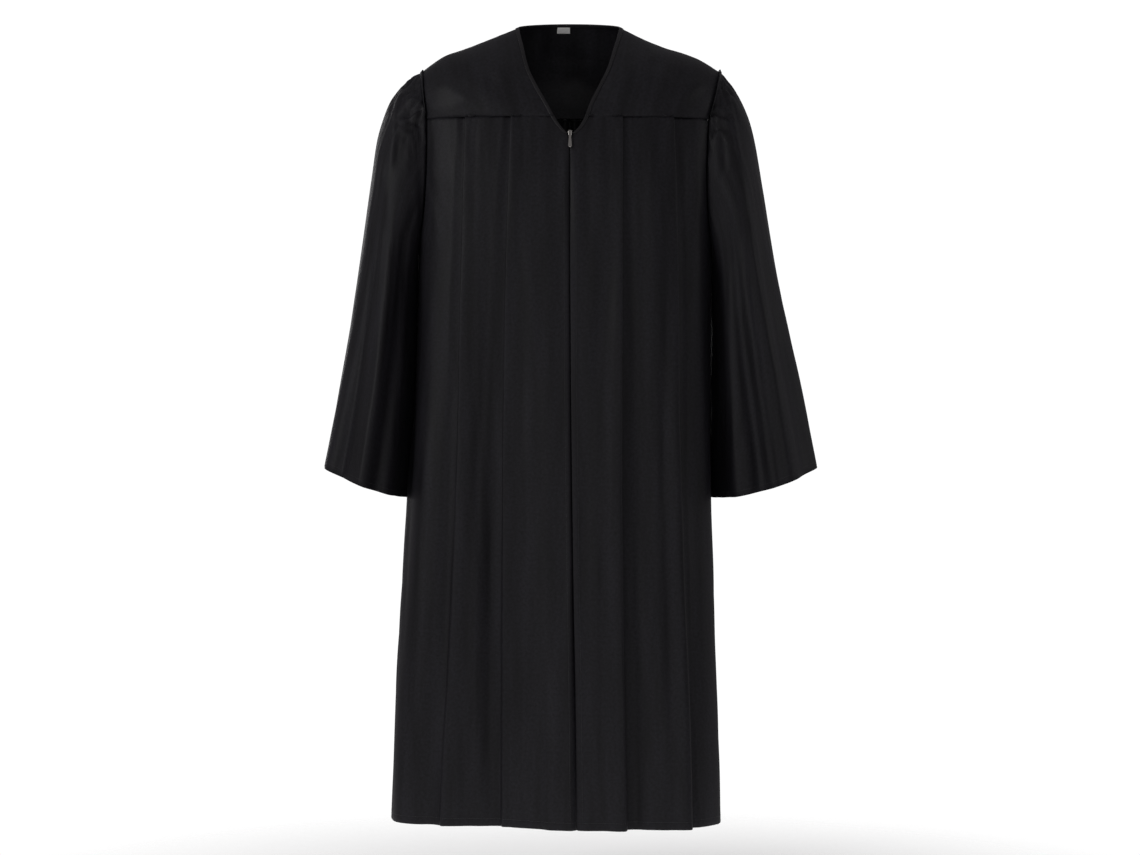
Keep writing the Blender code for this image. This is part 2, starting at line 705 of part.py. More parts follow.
def binding_rows():
    """Closed sections of the neck binding, a narrow U round the cloth's edge."""
    inner = HALF_WALL + BINDING_GAP
    outer = inner + BINDING_WALL
    edge = -BINDING_GAP - BINDING_WALL
    section = (
        (BINDING_LEG, inner), (BINDING_LEG, outer), (edge, outer), (edge, -outer),
        (BINDING_LEG, -outer), (BINDING_LEG, -inner), (-BINDING_GAP, -inner), (-BINDING_GAP, inner),
    )
    stations = neck_edge_stations()
    return [[place + inward * a + normal * b for a, b in section] for place, inward, normal in stations]


def zip_tape_rows():
    """Rows of points of the zip tape, behind the two front edges."""
    rows = []
    drops = [ZIP_TOP_DROP] + [d for d in FRONT_DROPS if V_FOOT_DROP < d < ZIP_END_DROP] + [ZIP_END_DROP]
    for drop in drops:
        middle = smooth(BODY, "zip_x", drop)
        groove = smooth(BODY, "groove", drop) * ease((drop - FRONT_YOKE_DROP) / 0.05)
        depth = smooth(BODY, "front_left", drop) - groove - ZIP_TAPE_SETBACK
        rows.append([Vector((middle + ZIP_TAPE_WIDTH * a, -depth, -drop)) for a in (-0.5, 0, 0.5)])
    return rows


def label_rows():
    """Rows of points of the neck label, inside the back yoke just under the binding."""
    rows = []
    inset = HALF_WALL + SEAM_GAP + LABEL_WALL / 2
    for share in (0, 0.5, 1):
        row = []
        for across in (-0.5, 0, 0.5):
            x = LABEL_MIDDLE_X + LABEL_WIDTH * across
            low = BINDING_LEG + 0.0006 + LABEL_HEIGHT * share
            row.append(back_yoke_inside(x, low, inset))
        rows.append(row)
    return rows


def back_yoke_inside(x, distance, inset):
    """Point inside the back yoke near its neck edge, at a distance down from the edge."""
    side = RIGHT if x < 0 else LEFT
    step = abs(x) / abs(back_yoke_point(side, 1, 0).x)
    near = back_yoke_point(side, 0, 0).lerp(back_yoke_point(side, 1, 0), step)
    below = back_yoke_point(side, 0, 1 / YOKE_ROWS).lerp(back_yoke_point(side, 1, 1 / YOKE_ROWS), step)
    normal = Vector((1, 0, 0)).cross(below - near).normalized()
    return near + (below - near).normalized() * distance - normal * inset


def material(name, colour, roughness, metallic=0.0):
    """Principled material of one colour."""
    made = bpy.data.materials.new(name)
    made.use_nodes = True
    shader = made.node_tree.nodes["Principled BSDF"]
    shader.inputs["Base Color"].default_value = colour
    shader.inputs["Roughness"].default_value = roughness
    shader.inputs["Metallic"].default_value = metallic
    made.diffuse_color = colour
    return made


def add_object(name, mesh, finish, collection):
    """Object from a mesh, with its own finish, in the gown's collection."""
    made = bpy.data.objects.new(name, mesh)
    collection.objects.link(made)
    made.data.materials.append(finish)
    return made


def loft(name, rows, around=False, capped=False):
    """Mesh through rows of points, open or closed round each row, with or without end caps."""
    width = len(rows[0])
    faces = []
    for r in range(len(rows) - 1):
        for c in range(width if around else width - 1):
            n = (c + 1) % width
            faces.append((r * width + c, r * width + n, (r + 1) * width + n, (r + 1) * width + c))
    if capped:
        start = (len(rows) - 1) * width
        faces.append(tuple(range(width))[::-1])
        faces.append(tuple(start + c for c in range(width)))
    mesh = bpy.data.meshes.new(name)
    mesh.from_pydata([tuple(point) for row in rows for point in row], [], faces)
    mesh.update()
    mesh.shade_smooth()
    return mesh


def add_cloth(name, rows, finish, collection, around=False, wall=WALL):
    """Piece of cloth: a surface through rows of points, thickened both ways to its wall."""
    made = add_object(name, loft(name, rows, around), finish, collection)
    shell = made.modifiers.new("Wall", "SOLIDIFY")
    shell.thickness = wall
    shell.offset = 0
    return made


def add_binding(finish, collection):
    """The neck binding, a closed strip of a narrow U section."""
    mesh = loft("neck_binding", binding_rows(), around=True, capped=True)
    return add_object("neck_binding", mesh, finish, collection)


def outline_solid(name, outline, holes, thickness, finish, collection):
    """Flat piece with round corners: a filled outline in its own XY plane with holes, extruded both ways."""
    curve = bpy.data.curves.new(name, "CURVE")
    curve.dimensions = "2D"
    curve.fill_mode = "BOTH"
    curve.extrude = thickness / 2
    for loop in (outline, *holes):
        spline = curve.splines.new("POLY")
        spline.points.add(len(loop) - 1)
        for point, place in zip(spline.points, loop):
            point.co = (*place, 0, 1)
        spline.use_cyclic_u = True
    guide = bpy.data.objects.new(name + "_outline", curve)
    collection.objects.link(guide)
    mesh = bpy.data.meshes.new_from_object(guide.evaluated_get(bpy.context.evaluated_depsgraph_get()))
    bpy.data.objects.remove(guide)
    return add_object(name, mesh, finish, collection)


def weld(made):
    """Weld an object's loose caps to its sides."""
    joined = made.modifiers.new("Weld", "WELD")
    joined.merge_threshold = 0.00001


def zip_frame(collection):
    """Empty on the cloth at the slider's middle: its Z runs up the zip and its -Y points out."""
    drop = SLIDER_TOP_DROP + SLIDER_HEIGHT / 2
    step = 0.012
    below = smooth(BODY, "front_left", V_FOOT_DROP + step)
    above = smooth(BODY, "front_left", V_FOOT_DROP)
    frame = bpy.data.objects.new("zip_frame", None)
    collection.objects.link(frame)
    frame.location = (0, -smooth(BODY, "front_left", drop), -drop)
    frame.rotation_euler = (-math.atan2(below - above, step), 0, 0)
    return frame


def add_block(name, low, high, collection):
    """Block between two corners."""
    mesh = bpy.data.meshes.new(name)
    form = bmesh.new()
    bmesh.ops.create_cube(form, size=1)
    for vertex in form.verts:
        vertex.co = [mix(a, b, c + 0.5) for a, b, c in zip(low, high, vertex.co)]
    form.to_mesh(mesh)
    form.free()
    made = bpy.data.objects.new(name, mesh)
    collection.objects.link(made)
    return made


def slider_blocks():
    """Corners of the slider's blocks: bridge over the tape, back plate, and the arch's posts and bar."""
    wide = SLIDER_WIDTH / 2
    top = SLIDER_HEIGHT / 2
    face = -SLIDER_FACE_OUT
    sunk = face + SLIDER_PLATE / 2
    back = SLIDER_BACK_IN
    bridge_back = back - SLIDER_PLATE / 2
    arch = ARCH_WIDTH / 2
    inner = face - ARCH_CLEAR
    outer = inner - ARCH_BAR
    post = ARCH_HALF_LENGTH - ARCH_BAR
    return {
        "bridge": ((-wide * 0.8, sunk, top - SLIDER_BRIDGE), (wide * 0.8, bridge_back, top * 0.97)),
        "back_plate": ((-wide, back - SLIDER_PLATE, -top), (wide, back, top)),
        "upper_post": ((-arch, inner - ARCH_BAR / 2, post), (arch, sunk, ARCH_HALF_LENGTH)),
        "lower_post": ((-arch, inner - ARCH_BAR / 2, -ARCH_HALF_LENGTH), (arch, sunk, -post)),
        "bar": ((-arch * 1.1, outer, -ARCH_HALF_LENGTH * 1.1), (arch * 1.1, inner, ARCH_HALF_LENGTH * 1.1)),
    }


def add_slider(finish, collection, guides, frame):
    """Zip slider: a front plate, bridged over the head of the tape to a back one, with the pull's arch."""
    wide = SLIDER_WIDTH / 2
    top = SLIDER_HEIGHT / 2
    front = -SLIDER_FACE_OUT
    body = add_block("zip_slider", (-wide, front, -top), (wide, front + SLIDER_PLATE, top), collection)
    body.data.materials.append(finish)
    body.parent = frame
    for name, (low, high) in slider_blocks().items():
        block = add_block("slider_" + name, low, high, guides)
        block.parent = frame
        block.hide_render = True
        block.display_type = "WIRE"
        union = body.modifiers.new(name, "BOOLEAN")
        union.operation = "UNION"
        union.object = block
    return body


def pull_outline():
    """Front view of the pull tab below its hinge bar, a slim drop with a round foot."""
    neck_end = PULL_WINDOW + 0.0015
    foot = PULL_LENGTH - PULL_HALF_WIDTH
    half = [(PULL_HALF_NECK, PULL_BAR / 2), (PULL_HALF_NECK, -neck_end)]
    half.append((PULL_HALF_WIDTH * 0.62, -neck_end - 0.0025))
    arc = [math.radians(a) for a in (0, 22.5, 45, 67.5)]
    half += [(PULL_HALF_WIDTH * math.cos(a), -foot - PULL_HALF_WIDTH * math.sin(a)) for a in arc]
    return half + [(0, -PULL_LENGTH)] + [(-x, y) for x, y in half[::-1]]


def add_pull(finish, collection, frame):
    """Zip pull tab, with its origin on the axis of its hinge bar."""
    side = PULL_HALF_WINDOW
    window = ((side, -PULL_BAR / 2), (-side, -PULL_BAR / 2), (-side, -PULL_WINDOW), (side, -PULL_WINDOW))
    made = outline_solid("zip_pull", pull_outline(), (window,), PULL_THICK, finish, collection)
    weld(made)
    made.parent = frame
    made.location = (0, -(SLIDER_FACE_OUT + SEAM_GAP + PULL_THICK / 2 + 0.0001), 0)
    made.rotation_euler = (math.pi / 2, 0, 0)
    return made


def build():
    """Make every piece of the gown."""
    for old in list(bpy.data.objects):
        bpy.data.objects.remove(old)
    collection = bpy.data.collections.new(GOWN)
    bpy.context.scene.collection.children.link(collection)
    guides = bpy.data.collections.new(GOWN + "_guides")
    bpy.context.scene.collection.children.link(guides)

    for side in (RIGHT, LEFT):
        yoke_cloth = material(f"front_yoke_{side}_cloth", CLOTH_BLACK, 0.55)
        add_cloth(f"front_yoke_{side}", front_yoke_rows(side), yoke_cloth, collection)
        rows = [front_row(side, drop) for drop in (FRONT_YOKE_DROP + HALF_GAP, *FRONT_DROPS[1:])]
        panel_cloth = material(f"front_panel_{side}_cloth", CLOTH_BLACK, 0.55)
        add_cloth(f"front_panel_{side}", rows, panel_cloth, collection)
        sleeve_cloth = material(f"sleeve_{side}_cloth", CLOTH_BLACK, 0.55)
        add_cloth(f"sleeve_{side}", sleeve_rows(side), sleeve_cloth, collection, around=True)

    add_cloth("back_yoke", back_yoke_rows(), material("back_yoke_cloth", CLOTH_BLACK, 0.55), collection)
    rows = [back_row(drop) for drop in (BACK_YOKE_DROP + HALF_GAP, *BACK_DROPS[1:])]
    add_cloth("back_panel", rows, material("back_panel_cloth", CLOTH_BLACK, 0.55), collection)
    add_binding(material("binding_cloth", BINDING_BLACK, 0.5), collection)

    tape = material("zip_tape_weave", TAPE_BLACK, 0.8)
    add_cloth("zip_tape", zip_tape_rows(), tape, collection, wall=ZIP_TAPE_WALL)
    satin = material("label_satin", LABEL_WHITE, 0.6)
    add_cloth("neck_label", label_rows(), satin, collection, wall=LABEL_WALL)

    frame = zip_frame(collection)
    add_slider(material("slider_nickel", SLIDER_METAL, 0.3, 1.0), collection, guides, frame)
    add_pull(material("pull_nickel", SLIDER_METAL, 0.3, 1.0), collection, frame)


build()
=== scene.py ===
"""Graduation gown: the cloth, sewing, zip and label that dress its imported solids.

Lengths are in metres. +X is the wearer's left, -Y the front and +Z up. A drop is a distance below the neck's
middle, level with the tops of the shoulders. Right and left are the wearer's.
"""

import logging
import math
from bisect import bisect_right
from collections.abc import Iterable, Sequence
from dataclasses import dataclass, field
from enum import Enum
from functools import lru_cache

import bmesh
import bpy
import numpy as np
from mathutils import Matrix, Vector, noise


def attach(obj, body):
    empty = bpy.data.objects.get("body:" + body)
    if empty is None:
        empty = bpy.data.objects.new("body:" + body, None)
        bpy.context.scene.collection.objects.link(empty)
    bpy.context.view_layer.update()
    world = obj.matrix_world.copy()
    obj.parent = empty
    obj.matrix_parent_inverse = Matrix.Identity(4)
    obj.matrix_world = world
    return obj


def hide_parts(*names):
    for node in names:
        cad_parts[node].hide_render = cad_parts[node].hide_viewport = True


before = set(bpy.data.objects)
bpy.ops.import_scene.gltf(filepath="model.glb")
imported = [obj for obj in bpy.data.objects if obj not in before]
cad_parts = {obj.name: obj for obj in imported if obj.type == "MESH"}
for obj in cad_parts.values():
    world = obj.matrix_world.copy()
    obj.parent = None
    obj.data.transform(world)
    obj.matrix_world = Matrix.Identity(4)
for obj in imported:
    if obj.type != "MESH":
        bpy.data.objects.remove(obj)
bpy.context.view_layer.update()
log = logging.getLogger("gown")

BODY = "gown"
PULL_BODY = "zip_pull"
CLOTH_WALL = 0.0007
SEAM_ROLL = 0.0011
SEAM_ROLL_WIDTH = 0.0017
NEAR_SEAM = (0.0, 0.0006, 0.0012, 0.0019, 0.0028, 0.0042, 0.0070)

FRONT_YOKE_DROP = 0.156
BACK_YOKE_DROP = 0.137
V_FOOT_DROP = 0.187
UNDERARM_DROP = 0.370
HEM_DROP = 1.278


class Side(Enum):
    """Side of the wearer, as the sign of its X."""

    RIGHT = -1
    LEFT = 1

    @property
    def word(self) -> str:
        """Name of the side in tables and pieces."""
        return self.name.lower()


class Face(Enum):
    """Half of the body's ring, as the turn that points its normals out."""

    FRONT = 1
    BACK = -1

    @property
    def word(self) -> str:
        """Name of the half in tables."""
        return self.name.lower()


class Table:
    """Sizes at stations, read between them on a smooth curve that never overshoots."""

    def __init__(self, columns: str, *rows: tuple[float, ...]) -> None:
        """Take the columns' names, the station's first, and the rows."""
        values = list(zip(*rows))
        self.keys = list(values[0])
        self.columns = dict(zip(columns.split(), values))
        self.slopes = {name: self._slopes(column) for name, column in self.columns.items()}

    def _slopes(self, column: Sequence[float]) -> list[float]:
        """Slope of a column at each station."""
        spans = [b - a for a, b in zip(self.keys, self.keys[1:])]
        steps = [(b - a) / span for a, b, span in zip(column, column[1:], spans)]
        inner = [2 * a * b / (a + b) if a * b > 0 else 0.0 for a, b in zip(steps, steps[1:])]
        return [steps[0], *inner, steps[-1]]

    def at(self, name: str, place: float) -> float:
        """Value of a column at a place.

        Args:
            name: the column.
            place: the place, held inside the stations' range.

        Returns:
            The value there.
        """
        place = min(max(place, self.keys[0]), self.keys[-1])
        i = min(bisect_right(self.keys, place) - 1, len(self.keys) - 2)
        column, slopes = self.columns[name], self.slopes[name]
        span = self.keys[i + 1] - self.keys[i]
        t = (place - self.keys[i]) / span
        start = column[i] * (1 + 2 * t) * (1 - t) ** 2 + slopes[i] * span * t * (1 - t) ** 2
        end = column[i + 1] * (3 - 2 * t) * t**2 + slopes[i + 1] * span * t**2 * (t - 1)
        return start + end


BODY_RINGS = Table(
    "drop right left front_right front_left back squareness zip_x groove",
    (0.137, 0.2500, 0.2430, 0.1080, 0.1080, 0.1140, 2.70, 0.000, 0.0000),
    (0.156, 0.2500, 0.2420, 0.1150, 0.1150, 0.1170, 2.70, 0.000, 0.0000),
    (0.187, 0.2495, 0.2400, 0.1235, 0.1235, 0.1210, 2.70, 0.000, 0.0010),
    (0.260, 0.2480, 0.2350, 0.1370, 0.1370, 0.1270, 2.75, 0.000, 0.0030),
    (0.370, 0.2460, 0.2300, 0.1420, 0.1440, 0.1310, 2.80, 0.000, 0.0030),
    (0.580, 0.2515, 0.2290, 0.1440, 0.1560, 0.1420, 3.00, 0.001, 0.0035),
    (0.764, 0.2632, 0.2292, 0.1460, 0.1680, 0.1540, 3.30, 0.003, 0.0045),
    (0.910, 0.2722, 0.2306, 0.1480, 0.1780, 0.1660, 3.50, 0.005, 0.0060),
    (1.082, 0.2812, 0.2334, 0.1510, 0.1900, 0.1810, 3.80, 0.008, 0.0080),
    (1.278, 0.2872, 0.2380, 0.1550, 0.2030, 0.2000, 4.20, 0.010, 0.0100),
)
RIGHT_FALL_WIDTH = 0.115
SHOULDER_CREST = Table(
    "share right left drop",
    (0.00, 0.0840, 0.0820, 0.0000),
    (0.25, 0.1220, 0.1140, 0.0165),
    (0.50, 0.1660, 0.1545, 0.0330),
    (0.75, 0.2070, 0.2030, 0.0490),
    (1.00, 0.2430, 0.2460, 0.0740),
)
V_NECK = Table(
    "drop right left forward",
    (0.000, 0.0840, 0.0820, 0.0000),
    (0.003, 0.0836, 0.0815, 0.0160),
    (0.014, 0.0818, 0.0790, 0.0350),
    (0.040, 0.0757, 0.0715, 0.0590),
    (0.075, 0.0673, 0.0610, 0.0800),
    (0.104, 0.0543, 0.0475, 0.0945),
    (0.136, 0.0366, 0.0320, 0.1070),
    (0.156, 0.0262, 0.0250, 0.1150),
    (0.172, 0.0160, 0.0165, 0.1195),
    (0.187, 0.0028, 0.0028, 0.1235),
)
ARMHOLE = Table(
    "drop front back",
    (0.137, 0.920, 0.932),
    (0.156, 0.920, 0.930),
    (0.220, 0.925, 0.930),
    (0.280, 0.940, 0.945),
    (0.310, 0.955, 0.958),
    (0.340, 0.980, 0.980),
    (0.358, 0.994, 0.994),
    (0.370, 1.000, 1.000),
)


def ease(value: float) -> float:
    """Smooth step from 0 to 1."""
    value = min(max(value, 0.0), 1.0)
    return value * value * (3 - 2 * value)


def mix(start: float, end: float, share: float) -> float:
    """Value between two others."""
    return start + (end - start) * share


def bump(distance: float, width: float) -> float:
    """Round hump of height 1, gone at the given distance from its middle."""
    share = abs(distance) / width
    return 0.5 + 0.5 * math.cos(math.pi * share) if share < 1 else 0.0


def ripple(across: float, down: float, seed: float) -> float:
    """Uneven smooth wave between about -1 and 1, the same on each run.

    Args:
        across: place across, in waves.
        down: place down, in waves.
        seed: number that picks the wave.

    Returns:
        The height of the wave.
    """
    slow = noise.noise(Vector((across + seed * 7.31, down - seed * 3.17, seed)))
    fast = noise.noise(Vector((across * 2.3 - seed * 5.7, down * 2.1 + seed * 1.9, seed + 11.3)))
    return 1.25 * slow + 0.45 * fast


def roll(distance: float) -> float:
    """How far cloth dips into a seam at a distance from it."""
    return -SEAM_ROLL * math.exp(-((distance / SEAM_ROLL_WIDTH) ** 2))


def spread(start: float, end: float, step: float, near_start: bool = False, near_end: bool = False) -> list[float]:
    """Places from start to end at about even steps, with closer ones beside a seam at either end."""
    low = [start + d for d in NEAR_SEAM] if near_start else [start]
    high = [end - d for d in reversed(NEAR_SEAM)] if near_end else [end]
    count = max(2, round((high[0] - low[-1]) / step))
    return low + [mix(low[-1], high[0], i / count) for i in range(1, count)] + high


def toward_seam(start: float, end: float, count: int) -> list[float]:
    """A fixed number of places after the start, even at first and close together beside a seam at the end."""
    even = end - NEAR_SEAM[-1]
    return [mix(start, even, i / count) for i in range(1, count)] + [end - d for d in reversed(NEAR_SEAM)]


class Ring:
    """Quarter of the body's ring at one drop, from its centre round to the side seam."""

    STEPS = 160

    def __init__(self, drop: float, side: Side, face: Face) -> None:
        """Work out the quarter's curve."""
        self.drop, self.side, self.face = drop, side, face
        half = BODY_RINGS.at(side.word, drop)
        square = BODY_RINGS.at("squareness", drop)
        turn = np.linspace(0, math.pi / 2, self.STEPS + 1)
        self.x = half * np.sin(turn) ** (2 / square)
        share = np.clip(1 - (self.x / half) ** square, 0, 1) ** (1 / square)
        if face is Face.BACK:
            self.y = BODY_RINGS.at("back", drop) * share
        else:
            depth = BODY_RINGS.at(f"front_{side.word}", drop)
            if side is Side.RIGHT:
                fall = np.clip(self.x / RIGHT_FALL_WIDTH, 0, 1)
                depth = depth + (BODY_RINGS.at("front_left", drop) - depth) * (1 - fall * fall * (3 - 2 * fall))
            self.y = -depth * share
        self.length = np.concatenate(([0], np.cumsum(np.hypot(np.diff(self.x), np.diff(self.y)))))

    def along_at(self, x: float) -> float:
        """Length along the quarter at a distance from the middle plane."""
        return float(np.interp(x, self.x, self.length))

    def end(self) -> float:
        """Length along the quarter at the armhole or the side seam."""
        if self.drop >= UNDERARM_DROP:
            return float(self.length[-1])
        return self.along_at(self.x[-1] * ARMHOLE.at(self.face.word, self.drop))

    def normals(self, along: np.ndarray) -> np.ndarray:
        """Outward directions at lengths along the quarter."""
        ahead = np.clip(along + 0.002, 0.002, self.length[-1])
        behind = np.maximum(ahead - 0.004, 0)
        dx = np.interp(ahead, self.length, self.x) - np.interp(behind, self.length, self.x)
        dy = np.interp(ahead, self.length, self.y) - np.interp(behind, self.length, self.y)
        span = np.hypot(dx, dy) * self.face.value
        return np.stack([self.side.value * dy / span, -dx / span, np.zeros_like(dx)], axis=-1)

    def places(self, along: Iterable[float], out: Iterable[float] = (0.0,)) -> np.ndarray:
        """Points at lengths along the quarter, moved out of it.

        Args:
            along: lengths from the centre.
            out: distances out of the ring.

        Returns:
            An array of points, one row each.
        """
        along = np.asarray(list(along), dtype=float)
        out = np.asarray(list(out), dtype=float)
        x = np.interp(along, self.length, self.x) + np.minimum(along, 0)
        y = np.interp(along, self.length, self.y)
        flat = np.stack([self.side.value * x, y, np.full_like(x, -self.drop)], axis=-1)
        return flat + self.normals(along) * out[:, None]


@lru_cache(maxsize=20000)
def ring(drop: float, side: Side, face: Face) -> Ring:
    """The quarter ring at a drop, made once."""
    return Ring(drop, side, face)


def linear(colour: str, alpha: float = 1.0) -> tuple[float, float, float, float]:
    """Linear colour of an sRGB hex value.

    Args:
        colour: the colour, such as "#1b1b1f".
        alpha: the opacity.

    Returns:
        Red, green, blue and alpha.
    """
    parts = [int(colour[i : i + 2], 16) / 255 for i in (1, 3, 5)]
    return (*[c / 12.92 if c <= 0.04045 else ((c + 0.055) / 1.055) ** 2.4 for c in parts], alpha)


def add_node(tree: bpy.types.NodeTree, kind: str, links: dict | None = None, **settings) -> bpy.types.Node:
    """Add a node with its settings, and give its inputs values or links.

    Args:
        tree: the tree to add to.
        kind: the node's type.
        links: input name or number to a value or to another node's output socket.
        **settings: the node's own properties.

    Returns:
        The new node.
    """
    node = tree.nodes.new(kind)
    for name, value in settings.items():
        setattr(node, name, value)
    for name, value in (links or {}).items():
        if isinstance(value, bpy.types.NodeSocket):
            tree.links.new(value, node.inputs[name])
        else:
            node.inputs[name].default_value = value
    return node


def blank_material(name: str, **sockets) -> tuple[bpy.types.Material, bpy.types.Node]:
    """New material with a Principled shader whose sockets are set, and that shader.

    Args:
        name: the material's name.
        **sockets: socket names with underscores for spaces, to their values.

    Returns:
        The material and its shader.
    """
    made = bpy.data.materials.new(name)
    made.use_nodes = True
    shader = made.node_tree.nodes["Principled BSDF"]
    for socket, value in sockets.items():
        shader.inputs[socket.replace("_", " ")].default_value = value
    return made, shader


@dataclass(frozen=True)
class WovenSatin:
    """Woven polyester satin: long floats of smooth yarn give a broad soft shine over a deep colour."""

    name: str
    colour: str
    worn: str
    roughness: float
    sheen: float
    gloss: float = 0.32
    thread: float = 0.0009
    relief: float = 0.00006

    def make(self) -> bpy.types.Material:
        """The finished material. The real threads are 0.1 mm apart, drawn coarser so that they show up close."""
        made, shader = blank_material(
            self.name, Sheen_Weight=self.sheen, Sheen_Roughness=0.5, Sheen_Tint=linear("#8f8f9c"),
            Specular_IOR_Level=self.gloss,
        )
        tree = made.node_tree
        lie = add_node(tree, "ShaderNodeUVMap", uv_map="lie").outputs[0]
        mottle = add_node(
            tree, "ShaderNodeTexNoise", {"Vector": lie, "Scale": 210.0, "Detail": 4.0, "Roughness": 0.62}
        )
        drawn = add_node(tree, "ShaderNodeVectorMath", {0: lie, 1: (1.0, 0.10, 1.0)}, operation="MULTIPLY")
        cloud = add_node(
            tree, "ShaderNodeTexNoise",
            {"Vector": drawn.outputs[0], "Scale": 46.0, "Detail": 3.0, "Roughness": 0.5},
        )
        shade = add_node(
            tree, "ShaderNodeMath", {0: mottle.outputs["Fac"], 1: cloud.outputs["Fac"]}, operation="MULTIPLY"
        )
        tone = add_node(
            tree, "ShaderNodeMapRange",
            {"Value": shade.outputs[0], "From Min": 0.15, "From Max": 0.38, "To Min": 0.0, "To Max": 1.0},
        )
        colour = add_node(
            tree, "ShaderNodeMix",
            {"Factor": tone.outputs[0], 6: linear(self.colour), 7: linear(self.worn)}, data_type="RGBA",
        )
        tree.links.new(colour.outputs[2], shader.inputs["Base Color"])
        gloss = add_node(
            tree, "ShaderNodeMapRange",
            {"Value": cloud.outputs["Fac"], "From Min": 0.3, "From Max": 0.7, "To Min": self.roughness - 0.05,
             "To Max": self.roughness + 0.05},
        )
        tree.links.new(gloss.outputs[0], shader.inputs["Roughness"])
        period = 0.31416 / self.thread
        warp = add_node(
            tree, "ShaderNodeTexWave", {"Vector": lie, "Scale": period, "Distortion": 0.4}, bands_direction="X"
        )
        weft = add_node(
            tree, "ShaderNodeTexWave", {"Vector": lie, "Scale": period / 2.5, "Distortion": 0.6}, bands_direction="Y"
        )
        weave = add_node(
            tree, "ShaderNodeMath", {0: warp.outputs["Fac"], 1: weft.outputs["Fac"]}, operation="ADD"
        )
        grain = add_node(
            tree, "ShaderNodeMath", {0: mottle.outputs["Fac"], 1: 3.0, 2: weave.outputs[0]}, operation="MULTIPLY_ADD"
        )
        relief = add_node(
            tree, "ShaderNodeBump", {"Height": grain.outputs[0], "Strength": 0.55, "Distance": self.relief}
        )
        tree.links.new(relief.outputs[0], shader.inputs["Normal"])
        return made


@dataclass(frozen=True)
class Thread:
    """Twisted polyester sewing thread: small twisted cords catch a fine line of light."""

    name: str
    colour: str
    roughness: float = 0.5

    def make(self) -> bpy.types.Material:
        """The finished material, with a twist drawn along the thread."""
        made, shader = blank_material(
            self.name, Base_Color=linear(self.colour), Roughness=self.roughness, Sheen_Weight=0.2
        )
        tree = made.node_tree
        place = add_node(tree, "ShaderNodeTexCoord").outputs["Object"]
        twist = add_node(tree, "ShaderNodeTexNoise", {"Vector": place, "Scale": 3500.0, "Detail": 1.0})
        relief = add_node(
            tree, "ShaderNodeBump", {"Height": twist.outputs["Fac"], "Strength": 0.5, "Distance": 0.0001}
        )
        tree.links.new(relief.outputs[0], shader.inputs["Normal"])
        return made


@dataclass(frozen=True)
class CastMetal:
    """Zinc casting with a nickel plate: a warm grey mirror with soft polishing marks."""

    name: str
    colour: str
    roughness: float

    def make(self) -> bpy.types.Material:
        """The finished material, with fine marks from tumbling."""
        made, shader = blank_material(self.name, Base_Color=linear(self.colour), Metallic=1.0)
        tree = made.node_tree
        place = add_node(tree, "ShaderNodeTexCoord").outputs["Object"]
        marks = add_node(tree, "ShaderNodeTexNoise", {"Vector": place, "Scale": 900.0, "Detail": 5.0})
        gloss = add_node(
            tree, "ShaderNodeMapRange",
            {"Value": marks.outputs["Fac"], "From Min": 0.3, "From Max": 0.7, "To Min": self.roughness * 0.6,
             "To Max": self.roughness * 1.5},
        )
        relief = add_node(
            tree, "ShaderNodeBump", {"Height": marks.outputs["Fac"], "Strength": 0.3, "Distance": 0.00003}
        )
        tree.links.new(gloss.outputs[0], shader.inputs["Roughness"])
        tree.links.new(relief.outputs[0], shader.inputs["Normal"])
        return made


@dataclass(frozen=True)
class Finishes:
    """The gown's finishes, each made once."""

    cloth: bpy.types.Material
    binding: bpy.types.Material
    tape: bpy.types.Material
    label: bpy.types.Material
    thread: bpy.types.Material
    label_thread: bpy.types.Material
    nylon: bpy.types.Material
    metal: bpy.types.Material

    @classmethod
    def make_all(cls) -> "Finishes":
        """Make every finish."""
        return cls(
            cloth=WovenSatin("polyester_satin_black", "#141316", "#222126", 0.52, 0.02, 0.22).make(),
            binding=WovenSatin("bias_satin_black", "#1c1b1d", "#242225", 0.50, 0.03, 0.24).make(),
            tape=WovenSatin("zip_tape_twill_black", "#0b0b0c", "#0f0f10", 0.8, 0.03, thread=0.0012).make(),
            label=WovenSatin("label_satin_white", "#ececea", "#f7f7f5", 0.5, 0.1, thread=0.0005).make(),
            thread=Thread("sewing_thread_black", "#1b1b1e").make(),
            label_thread=Thread("sewing_thread_white", "#e6e6e2").make(),
            nylon=Thread("zip_coil_nylon_black", "#101012", 0.35).make(),
            metal=CastMetal("slider_zinc_nickel", "#b4b1ac", 0.12).make(),
        )


def link(made: bpy.types.Object, body: str, replaced: Sequence[str] = ()) -> bpy.types.Object:
    """Put a piece in the scene, on its body, and hide the solids it stands for.

    Args:
        made: the piece.
        body: the body that it rides on.
        replaced: the CAD nodes that it replaces.

    Returns:
        The piece.
    """
    if not made.users_collection:
        bpy.context.scene.collection.objects.link(made)
    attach(made, body)
    if replaced:
        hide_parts(*replaced)
    log.info("%s made", made.name)
    return made


